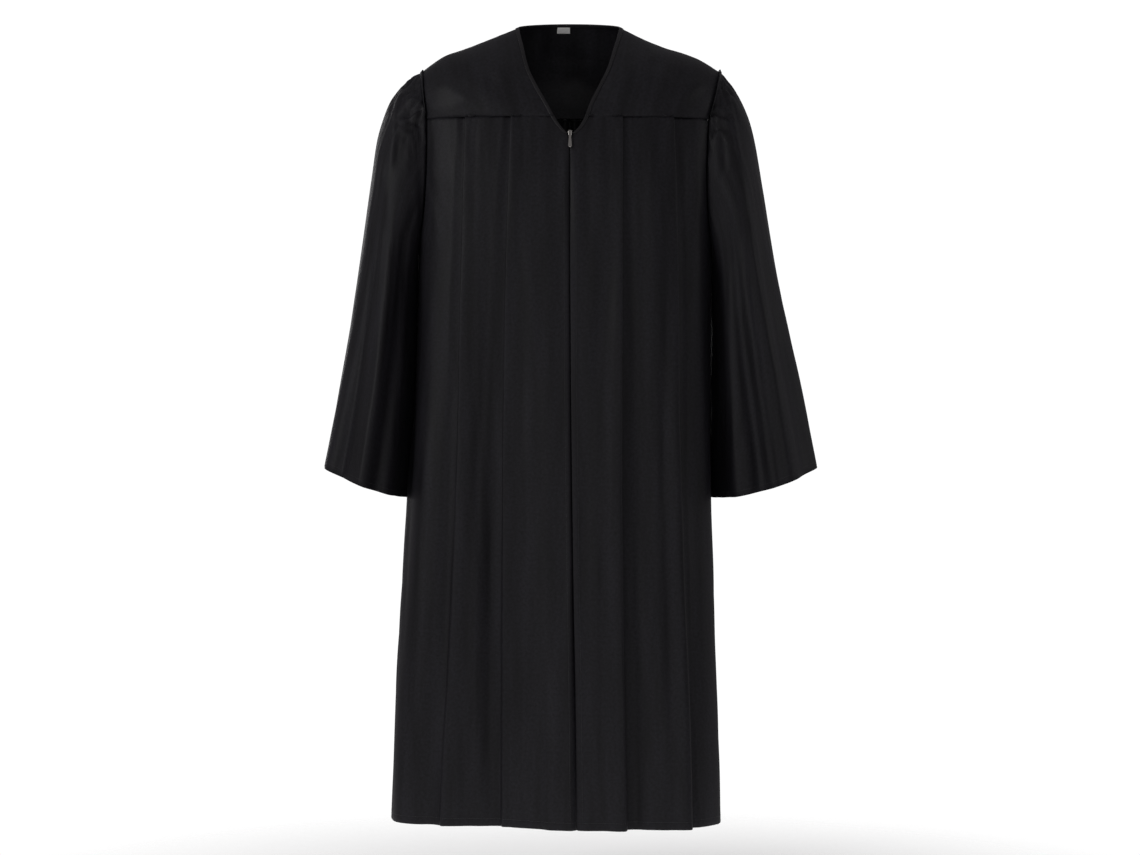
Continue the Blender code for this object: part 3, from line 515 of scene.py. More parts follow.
@dataclass
class Cloth:
    """Grid of points of one cut piece, in rows down the cloth and columns across it."""

    points: np.ndarray
    around: bool = False
    centre: np.ndarray | None = None
    kept: np.ndarray | None = None

    def normals(self) -> np.ndarray:
        """Outward direction at each point, away from each row's middle."""
        if self.around:
            wide = np.concatenate([self.points[:, -1:], self.points, self.points[:, :1]], axis=1)
            across = np.gradient(wide, axis=1)[:, 1:-1]
        else:
            across = np.gradient(self.points, axis=1)
        down = np.gradient(self.points, axis=0)
        facing = np.cross(down, across)
        facing /= np.maximum(np.linalg.norm(facing, axis=-1, keepdims=True), 1e-12)
        middle = self.centre if self.centre is not None else np.zeros((len(self.points), 3))
        away = self.points - middle[:, None, :]
        away[..., 2] = np.maximum(away[..., 2], 0) if self.centre is None else away[..., 2]
        return facing if (facing * away).sum() > 0 else -facing

    def lift(self, height: np.ndarray) -> "Cloth":
        """The cloth with each point moved out by its height."""
        self.points = self.points + self.normals() * height[..., None]
        return self

    def turn_in(self, edge: str, reach: float = 0.006) -> "Cloth":
        """Add the seam allowance behind an edge.

        Args:
            edge: top, bottom, first or last.
            reach: how far the allowance reaches in.

        Returns:
            The cloth, one line longer.
        """
        rows = edge in ("top", "bottom")
        at = 0 if edge in ("top", "first") else -1
        line = self.points[at] if rows else self.points[:, at]
        facing = self.normals()[at] if rows else self.normals()[:, at]
        inner = (line - facing * reach)[None] if rows else (line - facing * reach)[:, None]
        parts = [inner, self.points] if at == 0 else [self.points, inner]
        self.points = np.concatenate(parts, axis=0 if rows else 1)
        if self.centre is not None and rows:
            self.centre = np.concatenate([self.centre[:1], self.centre] if at == 0 else [self.centre, self.centre[-1:]])
        return self

    def hem(self, radius: float = 0.0009, rows: int = 2, skip: int = 0) -> "Cloth":
        """Turn the bottom edge up inside.

        Args:
            radius: radius of the turn.
            rows: how many rows up the turned hem reaches.
            skip: columns at the start left unturned, where the cloth is already double.

        Returns:
            The cloth with its hem.
        """
        facing = self.normals()
        down = self.points[-1] - self.points[-2]
        down /= np.linalg.norm(down, axis=-1, keepdims=True)
        lines = []
        for degrees in (45, 90, 135, 180):
            turn = math.radians(degrees)
            lines.append(self.points[-1] - facing[-1] * radius * (1 - math.cos(turn)) + down * radius * math.sin(turn))
        for row in range(2, rows + 2):
            lines.append(self.points[-row] - facing[-row] * radius * 2.2)
        count = len(self.points) - 1
        self.points = np.concatenate([self.points, np.array(lines)])
        if self.centre is not None:
            self.centre = np.concatenate([self.centre, np.repeat(self.centre[-1:], len(lines), axis=0)])
        width = self.points.shape[1] if self.around else self.points.shape[1] - 1
        self.kept = np.ones((len(self.points) - 1, width), dtype=bool)
        self.kept[count:, :skip] = False
        return self

    def mesh(self, name: str) -> bpy.types.Mesh:
        """Mesh of the grid, with its lie across and down the cloth in metres as a UV map.

        Args:
            name: the mesh's name.

        Returns:
            The mesh.
        """
        rows, columns = self.points.shape[:2]
        width = columns if self.around else columns - 1
        first = np.arange(rows - 1)[:, None] * columns + np.arange(width)[None, :]
        beside = np.arange(rows - 1)[:, None] * columns + (np.arange(width)[None, :] + 1) % columns
        quads = np.stack([first, beside, beside + columns, first + columns], axis=-1)
        steps = np.linalg.norm(np.diff(self.points, axis=1), axis=-1)
        across = np.concatenate([np.zeros((rows, 1)), np.cumsum(steps, axis=1)], axis=1)
        falls = np.linalg.norm(np.diff(self.points, axis=0), axis=-1).mean(axis=1)
        down = np.concatenate([[0], np.cumsum(falls)])[:, None] * np.ones((1, columns))
        if self.around:
            closing = across[:, -1:] + np.linalg.norm(self.points[:, :1] - self.points[:, -1:], axis=-1)
            across = np.concatenate([across, closing], axis=1)
            down = np.concatenate([down, down[:, :1]], axis=1)
        lie = np.stack([across - across.mean(axis=1, keepdims=True), down], axis=-1)
        corners = np.stack([lie[:-1, :-1], lie[:-1, 1:], lie[1:, 1:], lie[1:, :-1]], axis=2)
        kept = self.kept if self.kept is not None else np.ones((rows - 1, width), dtype=bool)
        made = bpy.data.meshes.new(name)
        made.from_pydata(self.points.reshape(-1, 3).tolist(), [], quads[kept].tolist())
        layer = made.uv_layers.new(name="lie")
        layer.data.foreach_set("uv", corners[kept].reshape(-1))
        made.update()
        made.shade_smooth()
        return made

    def piece(self, name: str, finish: bpy.types.Material, wall: float = CLOTH_WALL) -> bpy.types.Object:
        """Object of the cloth with its wall, still off every body.

        Args:
            name: the piece's name.
            finish: its material.
            wall: its thickness.

        Returns:
            The object.
        """
        made = bpy.data.objects.new(name, self.mesh(name))
        bpy.context.scene.collection.objects.link(made)
        made.data.materials.append(finish)
        shell = made.modifiers.new("cloth_wall", "SOLIDIFY")
        shell.thickness = wall
        shell.offset = 0
        return made


@dataclass
class Crease:
    """Soft crease between two places in front view, as wide as its reach to either side."""

    start: tuple[float, float]
    end: tuple[float, float]
    reach: float
    height: float

    def at(self, x: float, z: float) -> float:
        """Height of the crease at a place."""
        ax, az = self.start
        bx, bz = self.end
        length = math.hypot(bx - ax, bz - az)
        along = ((x - ax) * (bx - ax) + (z - az) * (bz - az)) / length**2
        beside = abs((x - ax) * (bz - az) - (z - az) * (bx - ax)) / length
        return self.height * bump(beside, self.reach) * ease(along * 4) * ease((1 - along) * 3)


@dataclass
class Pleat:
    """Knife pleat: stations down the front with its folded edge, the S it makes, and how it swells."""

    rows: tuple[tuple[float, ...], ...]
    fall: tuple[float, float, float] = (0.002, 0.004, 0.020)
    rise: float = 2.1
    table: Table = field(init=False)

    ARC_STEPS = 8
    SLOPE_STEPS = 9

    def valley(self, past: float, drop: float) -> float:
        """Depth of the soft valley that the cloth falls into past the folded edge.

        Args:
            past: the distance past the edge, towards the side seam.
            drop: the drop.

        Returns:
            The height, which is never above zero.
        """
        top, hem, reach = self.fall
        depth = mix(top, hem, ease((drop - FRONT_YOKE_DROP) / 0.55))
        width = reach * mix(0.75, 1.0, ease((drop - FRONT_YOKE_DROP) / 0.5))
        wander = 1 + 0.18 * ripple(drop / 0.30, depth * 40, 91)
        share = past / (width * wander)
        if share <= 0:
            return 0.0
        return -depth * ease(share) if share < 1 else -depth * ease(1 - (share - 1) / self.rise)

    def __post_init__(self) -> None:
        """Name the table's columns."""
        self.table = Table("drop edge_x radius sweep run reach tail lift", *self.rows)

    def columns(self, quarter: Ring) -> list[tuple[float, float]]:
        """Lengths along the ring and heights out of it for the pleat's columns."""
        size = {name: self.table.at(name, quarter.drop) for name in self.table.columns}
        radius, run, sweep = size["radius"], size["run"], math.radians(size["sweep"])
        turn = [sweep * i / self.ARC_STEPS for i in range(self.ARC_STEPS + 1)]
        first = [(radius * math.sin(a), radius * (math.cos(a) - 1)) for a in turn]
        across = first[-1][0] + run * math.cos(sweep)
        out = first[-1][1] - run * math.sin(sweep)
        middle = (across + radius * math.sin(sweep), out + radius * math.cos(sweep))
        second = [(middle[0] - radius * math.sin(sweep - a), middle[1] - radius * math.cos(sweep - a)) for a in turn]
        profile = first + second
        start = quarter.along_at(size["edge_x"]) - radius
        rise = -profile[-1][1] * size["lift"]
        floor = rise + profile[-1][1]
        end = start + profile[-1][0]
        clear = max(end + size["tail"] * 0.1, start + radius + 0.0016)
        shares = [i / self.SLOPE_STEPS for i in range(self.SLOPE_STEPS + 1)]
        rising = [(start - size["reach"] * (1 - s), rise * ease(s)) for s in shares[:-1]]
        falling = [(clear + size["tail"] * s, floor * (1 - ease(s))) for s in shares]
        return rising + [(start + a, rise + b) for a, b in profile] + falling


PLEATS = {
    Side.RIGHT: (
        Pleat((
            (0.156, 0.0940, 0.0015, 180, 0.010, 0.020, 0.014, 0.30),
            (0.300, 0.0990, 0.0017, 180, 0.009, 0.024, 0.018, 0.35),
            (0.680, 0.1060, 0.0035, 120, 0.003, 0.034, 0.030, 0.50),
            (1.278, 0.1080, 0.0060, 80, 0.002, 0.045, 0.036, 0.50),
        ), (0.0015, 0.0035, 0.022)),
        Pleat((
            (0.156, 0.1670, 0.0015, 180, 0.010, 0.018, 0.014, 0.30),
            (0.300, 0.1700, 0.0017, 180, 0.009, 0.020, 0.018, 0.35),
            (0.680, 0.1780, 0.0035, 110, 0.003, 0.028, 0.026, 0.50),
            (1.278, 0.2050, 0.0060, 70, 0.002, 0.036, 0.032, 0.50),
        ), (0.0015, 0.0035, 0.018)),
    ),
    Side.LEFT: (
        Pleat((
            (0.156, 0.0840, 0.0015, 180, 0.010, 0.020, 0.016, 0.30),
            (0.300, 0.0830, 0.0018, 180, 0.009, 0.024, 0.022, 0.35),
            (0.680, 0.0820, 0.0036, 150, 0.004, 0.032, 0.032, 0.55),
            (1.278, 0.0890, 0.0048, 130, 0.004, 0.036, 0.034, 0.55),
        ), (0.0035, 0.0080, 0.024)),
        Pleat((
            (0.156, 0.1660, 0.0015, 180, 0.010, 0.018, 0.014, 0.30),
            (0.300, 0.1700, 0.0018, 180, 0.009, 0.020, 0.018, 0.35),
            (0.680, 0.1740, 0.0036, 145, 0.004, 0.026, 0.024, 0.50),
            (1.278, 0.1880, 0.0048, 125, 0.004, 0.028, 0.022, 0.50),
        ), (0.0035, 0.0075, 0.021)),
    ),
}


@dataclass
class FrontPanel:
    """Long front panel: a folded edge at the zip, two knife pleats into the yoke, and a turned hem."""

    side: Side
    finish: bpy.types.Material
    flat: tuple[float, float] = (0.460, 1.200)
    area: float = 0.465
    zip_gap: float = 0.0008
    facing: float = 0.012
    edge_turn: float = 0.0007
    edge_depth: float = 0.008
    row_step: float = 0.0078
    sway: float = 0.0066
    groove_share: float = field(init=False)
    cloth: Cloth = field(init=False)

    def __post_init__(self) -> None:
        """Let the right front dip to the zip, and the left front's fold stand beside it."""
        self.groove_share = 1.0 if self.side is Side.RIGHT else 0.3

    def edge_x(self, drop: float) -> float:
        """Distance of the inner edge from the middle plane: the V above its foot, the zip line below."""
        if drop < V_FOOT_DROP:
            return V_NECK.at(self.side.word, drop)
        start = V_NECK.at(self.side.word, V_FOOT_DROP)
        opening = mix(start, self.zip_gap, ease((drop - V_FOOT_DROP) / 0.02))
        return opening + self.side.value * BODY_RINGS.at("zip_x", drop)

    def creases(self, along: float, drop: float, share: float) -> float:
        """Height of the uneven soft folds at a place on the panel."""
        seed = 2.0 + self.side.value
        down = ease((drop - FRONT_YOKE_DROP) / 0.75)
        long = self.sway * mix(0.18, 1.0, down) * ripple(along / 0.058, drop / 0.62, seed)
        fine = 0.0009 * ripple(along / 0.021, drop / 0.16, seed + 5)
        pucker = 0.0007 * ripple(along / 0.006, drop / 0.03, seed + 9) * math.exp(-(drop - FRONT_YOKE_DROP) / 0.014)
        drag = 0.0016 * ripple(along / 0.03, (drop + along * 1.2) / 0.05, seed + 13) * bump(drop - 0.29, 0.14) * share**3
        edge = ease((1 - share) / 0.05) * ease(share / 0.03)
        return (long + fine + drag) * edge * mix(0.35, 1, ease((drop - FRONT_YOKE_DROP) / 0.05)) + pucker

    def row(self, drop: float) -> np.ndarray:
        """Points of the panel at one drop, from behind the zip edge to the armhole or side seam."""
        quarter = ring(drop, self.side, Face.FRONT)
        start = self.edge_x(drop)
        first = quarter.along_at(abs(start)) * (1 if start >= 0 else -1)
        last = quarter.end()
        groove = BODY_RINGS.at("groove", drop) * ease((drop - FRONT_YOKE_DROP) / 0.05)
        turn = self.edge_turn
        columns = [(first + self.facing, -turn * 2), (first + self.facing / 2, -turn * 2), (first + turn, -turn * 2)]
        columns += [(first + turn * (1 - math.sin(a)), turn * (math.cos(a) - 1))
                    for a in (math.radians(d) for d in (150, 120, 90, 60, 30))]
        columns += [(first + turn + self.edge_depth * i / 6, 0.0) for i in range(7)]
        for pleat in PLEATS[self.side]:
            places = pleat.columns(quarter)
            near = columns[-1][0]
            steps = 14
            columns += [(mix(near, places[0][0], i / steps), 0.0) for i in range(1, steps)]
            columns += places
        columns += [(place, 0.0) for place in toward_seam(columns[-1][0], last, 14)]
        edges = [(pleat, quarter.along_at(pleat.table.at("edge_x", drop))) for pleat in PLEATS[self.side]]
        out = []
        for along, height in columns:
            share = min(max((along - first) / (last - first), 0), 1)
            height += sum(pleat.valley(along - edge, drop) for pleat, edge in edges) * ease((1 - share) / 0.12)
            inward = groove * self.groove_share * max(1 - max(along - first, 0) / self.edge_depth, 0) ** 2
            seam = roll(last - along) + roll(drop - FRONT_YOKE_DROP)
            out.append(height - inward + seam + self.creases(along, drop, share))
        return quarter.places([place for place, _ in columns], out)

    def build(self) -> bpy.types.Object:
        """Make the panel.

        Returns:
            The panel's object.
        """
        drops = spread(FRONT_YOKE_DROP, HEM_DROP, self.row_step, near_start=True)
        grid = np.array([self.row(drop) for drop in drops])
        self.cloth = Cloth(grid).turn_in("top").turn_in("last").hem(skip=8)
        name = f"front_{self.side.word}"
        made = self.cloth.piece(f"{name}_cloth", self.finish)
        link(made, BODY, [f"front_panel_{self.side.word}"])
        return made


@dataclass
class BackPanel:
    """Long back panel: gathered into the yoke, with uneven drape folds below and a turned hem."""

    finish: bpy.types.Material
    flat: tuple[float, float] = (0.915, 1.215)
    area: float = 0.855
    row_step: float = 0.0088
    columns: int = 116
    gathers: int = 14
    gather_height: float = 0.0023
    gather_end: float = 0.300
    yoke_share: float = 0.78
    folds: tuple[tuple[float, float, float, float], ...] = (
        (-0.72, -0.72, 0.10, 0.012),
        (-0.54, -0.54, 0.10, 0.019),
        (-0.36, -0.35, 0.09, 0.013),
        (-0.16, -0.14, 0.10, 0.020),
        (0.04, 0.08, 0.09, 0.014),
        (0.24, 0.29, 0.11, 0.021),
        (0.45, 0.50, 0.09, 0.013),
        (0.64, 0.69, 0.10, 0.015),
    )
    cloth: Cloth = field(init=False)

    def height(self, across: float, edge: float, drop: float) -> float:
        """Height out of the ring at a place across, from -1 at the right to 1 at the left.

        Args:
            across: the place across, on the folds' own smooth width.
            edge: the place across, on the width to the seam.
            drop: the drop.

        Returns:
            The height of gathers, drape folds and creases there.
        """
        gather_edge = ease((1 - abs(edge)) / 0.09)
        fade = ease(1 - (drop - BACK_YOKE_DROP) / (self.gather_end - BACK_YOKE_DROP))
        phase = across * self.gathers + 0.18 * ripple(across * 9, drop / 0.2, 3.0)
        strength = 1 + 0.45 * ripple(across * 13, drop / 0.11, 4.0)
        gather = self.gather_height * fade * strength * math.cos(2 * math.pi * phase)
        fuzz = 0.0008 * ripple(across * 45, drop / 0.02, 6.0) * math.exp(-(drop - BACK_YOKE_DROP) / 0.03)
        down = ease((drop - BACK_YOKE_DROP) / (HEM_DROP - BACK_YOKE_DROP) * 1.15)
        drape = 0.0
        for top, hem, width, height in self.folds:
            drape += height * bump(across - mix(top, hem, down), width) * down
        soft = 0.003 * ripple(across * 5.2, drop / 0.55, 8.0) * mix(0.25, 1, down)
        soft += 0.0008 * ripple(across * 14, drop / 0.15, 9.0)
        return gather_edge * (gather + fuzz + soft) + ease((0.92 - abs(edge)) / 0.17) * drape

    def row(self, drop: float) -> np.ndarray:
        """Points of the panel at one drop, from right to left."""
        halves = []
        for side in Side:
            quarter = ring(drop, side, Face.BACK)
            last = quarter.end()
            wide = quarter.length[-1] * mix(self.yoke_share, 1.0, ease((drop - 0.24) / 0.42))
            places = [0.0, *toward_seam(0.0, last, self.columns)]
            out = [
                self.height(side.value * place / wide, side.value * place / last, drop)
                + roll(last - place) + roll(drop - BACK_YOKE_DROP)
                for place in places
            ]
            points = quarter.places(places, out)
            halves.append(points[::-1] if side is Side.RIGHT else points[1:])
        return np.concatenate(halves)

    def build(self) -> bpy.types.Object:
        """Make the panel.

        Returns:
            The panel's object.
        """
        drops = spread(BACK_YOKE_DROP, HEM_DROP, self.row_step, near_start=True)
        grid = np.array([self.row(drop) for drop in drops])
        self.cloth = Cloth(grid).turn_in("top").turn_in("first").turn_in("last").hem()
        made = self.cloth.piece("back_cloth", self.finish)
        link(made, BODY, ["back_panel"])
        return made


def meridian(share: float, slope: float) -> tuple[float, float]:
    """Shares out and down of a shoulder's curve, which starts at a slope and ends hanging straight."""
    turn = mix(slope, math.pi / 2, share)
    out = (math.sin(turn) - math.sin(slope)) / (1 - math.sin(slope))
    down = (math.cos(slope) - math.cos(turn)) / math.cos(slope)
    return out, down


@dataclass
class FrontYoke:
    """Front yoke: smooth cloth from the shoulder seam to the level front seam, with a faint drag towards the zip."""

    side: Side
    finish: bpy.types.Material
    flat: tuple[float, float] = (0.225, 0.230)
    area: float = 0.037
    edge_power: float = 1.6
    drags: dict[Side, tuple[Crease, ...]] = field(
        default_factory=lambda: {
            Side.RIGHT: (
                Crease((-0.074, -0.090), (-0.040, -0.122), 0.010, 0.0022),
                Crease((-0.170, -0.062), (-0.110, -0.108), 0.020, -0.0016),
                Crease((-0.222, -0.094), (-0.150, -0.138), 0.016, 0.0013),
            ),
            Side.LEFT: (
                Crease((0.052, -0.096), (0.118, -0.128), 0.013, 0.0014),
                Crease((0.120, -0.058), (0.190, -0.104), 0.020, -0.0015),
                Crease((0.225, -0.090), (0.160, -0.136), 0.016, 0.0014),
            ),
        }
    )
    cloth: Cloth = field(init=False)

    def point(self, across: float, down: float) -> Vector:
        """Point of the yoke, across from the V edge (0) to the armhole (1) and down to the seam (1).

        Args:
            across: share across.
            down: share down.

        Returns:
            The point.
        """
        word = self.side.word
        quarter = ring(FRONT_YOKE_DROP, self.side, Face.FRONT)
        crest_x = V_NECK.at(word, 0)
        seam_x = V_NECK.at(word, FRONT_YOKE_DROP)
        seam = quarter.places([mix(quarter.along_at(seam_x), quarter.end(), across)])[0]
        out, fall = meridian(down, 0.0)
        neck_fall = down**self.edge_power
        neck_drop = FRONT_YOKE_DROP * neck_fall
        neck_out = V_NECK.at("forward", neck_drop) / V_NECK.at("forward", FRONT_YOKE_DROP)
        neck_share = (V_NECK.at(word, neck_drop) - crest_x) / (seam_x - crest_x)
        near = (1 - across) ** 3
        x = mix(SHOULDER_CREST.at(word, across), abs(seam[0]), mix(down * down, neck_share, 1 - across))
        drop = mix(SHOULDER_CREST.at("drop", across), FRONT_YOKE_DROP, mix(fall, neck_fall, near))
        return Vector((self.side.value * x, seam[1] * mix(out, neck_out, near), -drop))

    def build(self) -> bpy.types.Object:
        """Make the yoke.

        Returns:
            The yoke's object.
        """
        downs = spread(0.0, 0.19, 0.0044, near_start=True, near_end=True)
        acrosses = spread(0.0, 0.20, 0.0044, near_end=True)
        grid = np.array([[self.point(a / 0.20, d / 0.19) for a in acrosses] for d in downs])
        height = np.zeros(grid.shape[:2])
        for r, d in enumerate(downs):
            for c, a in enumerate(acrosses):
                x, _, z = grid[r, c]
                soft = 0.0012 * ripple(x / 0.06, z / 0.045, 21 + self.side.value)
                soft += 0.0005 * ripple(x / 0.02, z / 0.022, 27 + self.side.value)
                soft += sum(crease.at(x, z) for crease in self.drags[self.side])
                pucker = 0.0005 * ripple(x / 0.007, z / 0.02, 31 + self.side.value) * math.exp(-(0.19 - d) / 0.008)
                fade = ease(a / 0.02) * ease((0.20 - a) / 0.012) * ease(d / 0.02)
                height[r, c] = soft * fade + pucker + roll(d) + roll(0.19 - d) + roll(0.20 - a)
        self.cloth = Cloth(grid).lift(height).turn_in("top").turn_in("bottom").turn_in("last")
        made = self.cloth.piece(f"yoke_{self.side.word}_cloth", self.finish)
        link(made, BODY, [f"front_yoke_{self.side.word}"])
        return made


@dataclass
class BackYoke:
    """Back yoke: one piece over both shoulders, round the back neck and down to the gathered seam."""

    finish: bpy.types.Material
    flat: tuple[float, float] = (0.600, 0.210)
    area: float = 0.088
    neck_depth: float = 0.060
    neck_rise: float = 0.014
    neck_slope: float = math.radians(48)
    neck_seam_x: float = 0.150
    neck_columns: int = 26
    shoulder_columns: int = 38
    creases: tuple[Crease, ...] = (
        Crease((-0.040, 0.004), (-0.062, -0.062), 0.016, -0.0024),
        Crease((-0.004, -0.060), (0.060, -0.100), 0.020, 0.0016),
        Crease((0.060, -0.030), (0.150, -0.085), 0.022, -0.0016),
        Crease((-0.080, -0.060), (-0.170, -0.100), 0.020, 0.0015),
    )
    cloth: Cloth = field(init=False)

    def crest(self, side: Side, place: float) -> tuple[Vector, np.ndarray, float]:
        """Top point of the yoke, its seam point, and the slope at which it leaves the top.

        Args:
            side: the side.
            place: 0 at the centre, 1 at the neck point and 2 at the shoulder point.

        Returns:
            The top point, the seam point and the slope.
        """
        quarter = ring(BACK_YOKE_DROP, side, Face.BACK)
        neck_along = quarter.along_at(self.neck_seam_x)
        if place <= 1:
            turn = math.pi / 2 * place
            half = SHOULDER_CREST.at(side.word, 0)
            top = Vector((side.value * half * math.sin(turn), self.neck_depth * math.cos(turn),
                          self.neck_rise * math.cos(turn)))
            return top, quarter.places([neck_along * math.sin(turn)])[0], self.neck_slope * math.cos(turn)
        across = place - 1
        top = Vector((side.value * SHOULDER_CREST.at(side.word, across), 0, -SHOULDER_CREST.at("drop", across)))
        return top, quarter.places([mix(neck_along, quarter.end(), across)])[0], 0.0

    def point(self, side: Side, place: float, down: float) -> Vector:
        """Point of the yoke at a place from the centre, down from the top (0) to the seam (1)."""
        top, seam, slope = self.crest(side, place)
        out, fall = meridian(down, slope)
        return Vector((mix(top.x, seam[0], down), mix(top.y, seam[1], out), mix(top.z, seam[2], fall)))

    def build(self) -> bpy.types.Object:
        """Make the yoke.

        Returns:
            The yoke's object.
        """
        downs = spread(0.0, 0.17, 0.0046, near_start=True, near_end=True)
        near = [i / self.neck_columns for i in range(self.neck_columns)]
        places = near + [1 + a / 0.17 for a in spread(0.0, 0.17, 0.17 / self.shoulder_columns, near_end=True)]
        columns = [(Side.RIGHT, p) for p in reversed(places)] + [(Side.LEFT, p) for p in places[1:]]
        grid = np.array([[self.point(side, place, d / 0.17) for side, place in columns] for d in downs])
        height = np.zeros(grid.shape[:2])
        for r, d in enumerate(downs):
            for c, (_, place) in enumerate(columns):
                x, _, z = grid[r, c]
                soft = 0.0012 * ripple(x / 0.06, z / 0.045, 41.0) + 0.0005 * ripple(x / 0.02, z / 0.025, 43.0)
                soft += sum(crease.at(x, z) for crease in self.creases)
                pucker = 0.0009 * ripple(x / 0.008, z / 0.02, 47.0) * math.exp(-(0.17 - d) / 0.010)
                end = (2 - place) * 0.17
                shoulder = roll(d) * ease((place - 1) / 0.1)
                height[r, c] = soft * ease(d / 0.02) * ease(end / 0.012) + pucker + roll(0.17 - d) + roll(end) + shoulder
        self.cloth = Cloth(grid).lift(height).turn_in("bottom").turn_in("first").turn_in("last")
        made = self.cloth.piece("yoke_back_cloth", self.finish)
        link(made, BODY, ["back_yoke"])
        return made


SLEEVE_RINGS = Table(
    "share right left outer_drop inner_drop front back shift",
    (0.00, 0.2430, 0.2460, 0.0740, 0.370, 0.075, 0.080, 0.000),
    (0.03, 0.2610, 0.2540, 0.0850, 0.382, 0.080, 0.085, 0.003),
    (0.06, 0.2750, 0.2660, 0.0980, 0.394, 0.087, 0.092, 0.006),
    (0.10, 0.2920, 0.2790, 0.1190, 0.409, 0.096, 0.101, 0.012),
    (0.15, 0.3060, 0.2930, 0.1500, 0.429, 0.109, 0.112, 0.022),
    (0.20, 0.3157, 0.3017, 0.1810, 0.449, 0.120, 0.121, 0.032),
    (0.30, 0.3260, 0.3143, 0.2480, 0.488, 0.131, 0.131, 0.043),
    (0.50, 0.3456, 0.3370, 0.3810, 0.567, 0.145, 0.145, 0.050),
    (0.70, 0.3662, 0.3640, 0.5140, 0.646, 0.153, 0.153, 0.052),
    (0.85, 0.3840, 0.3850, 0.6130, 0.705, 0.159, 0.159, 0.054),
    (1.00, 0.4035, 0.4035, 0.7120, 0.764, 0.165, 0.165, 0.055),
)


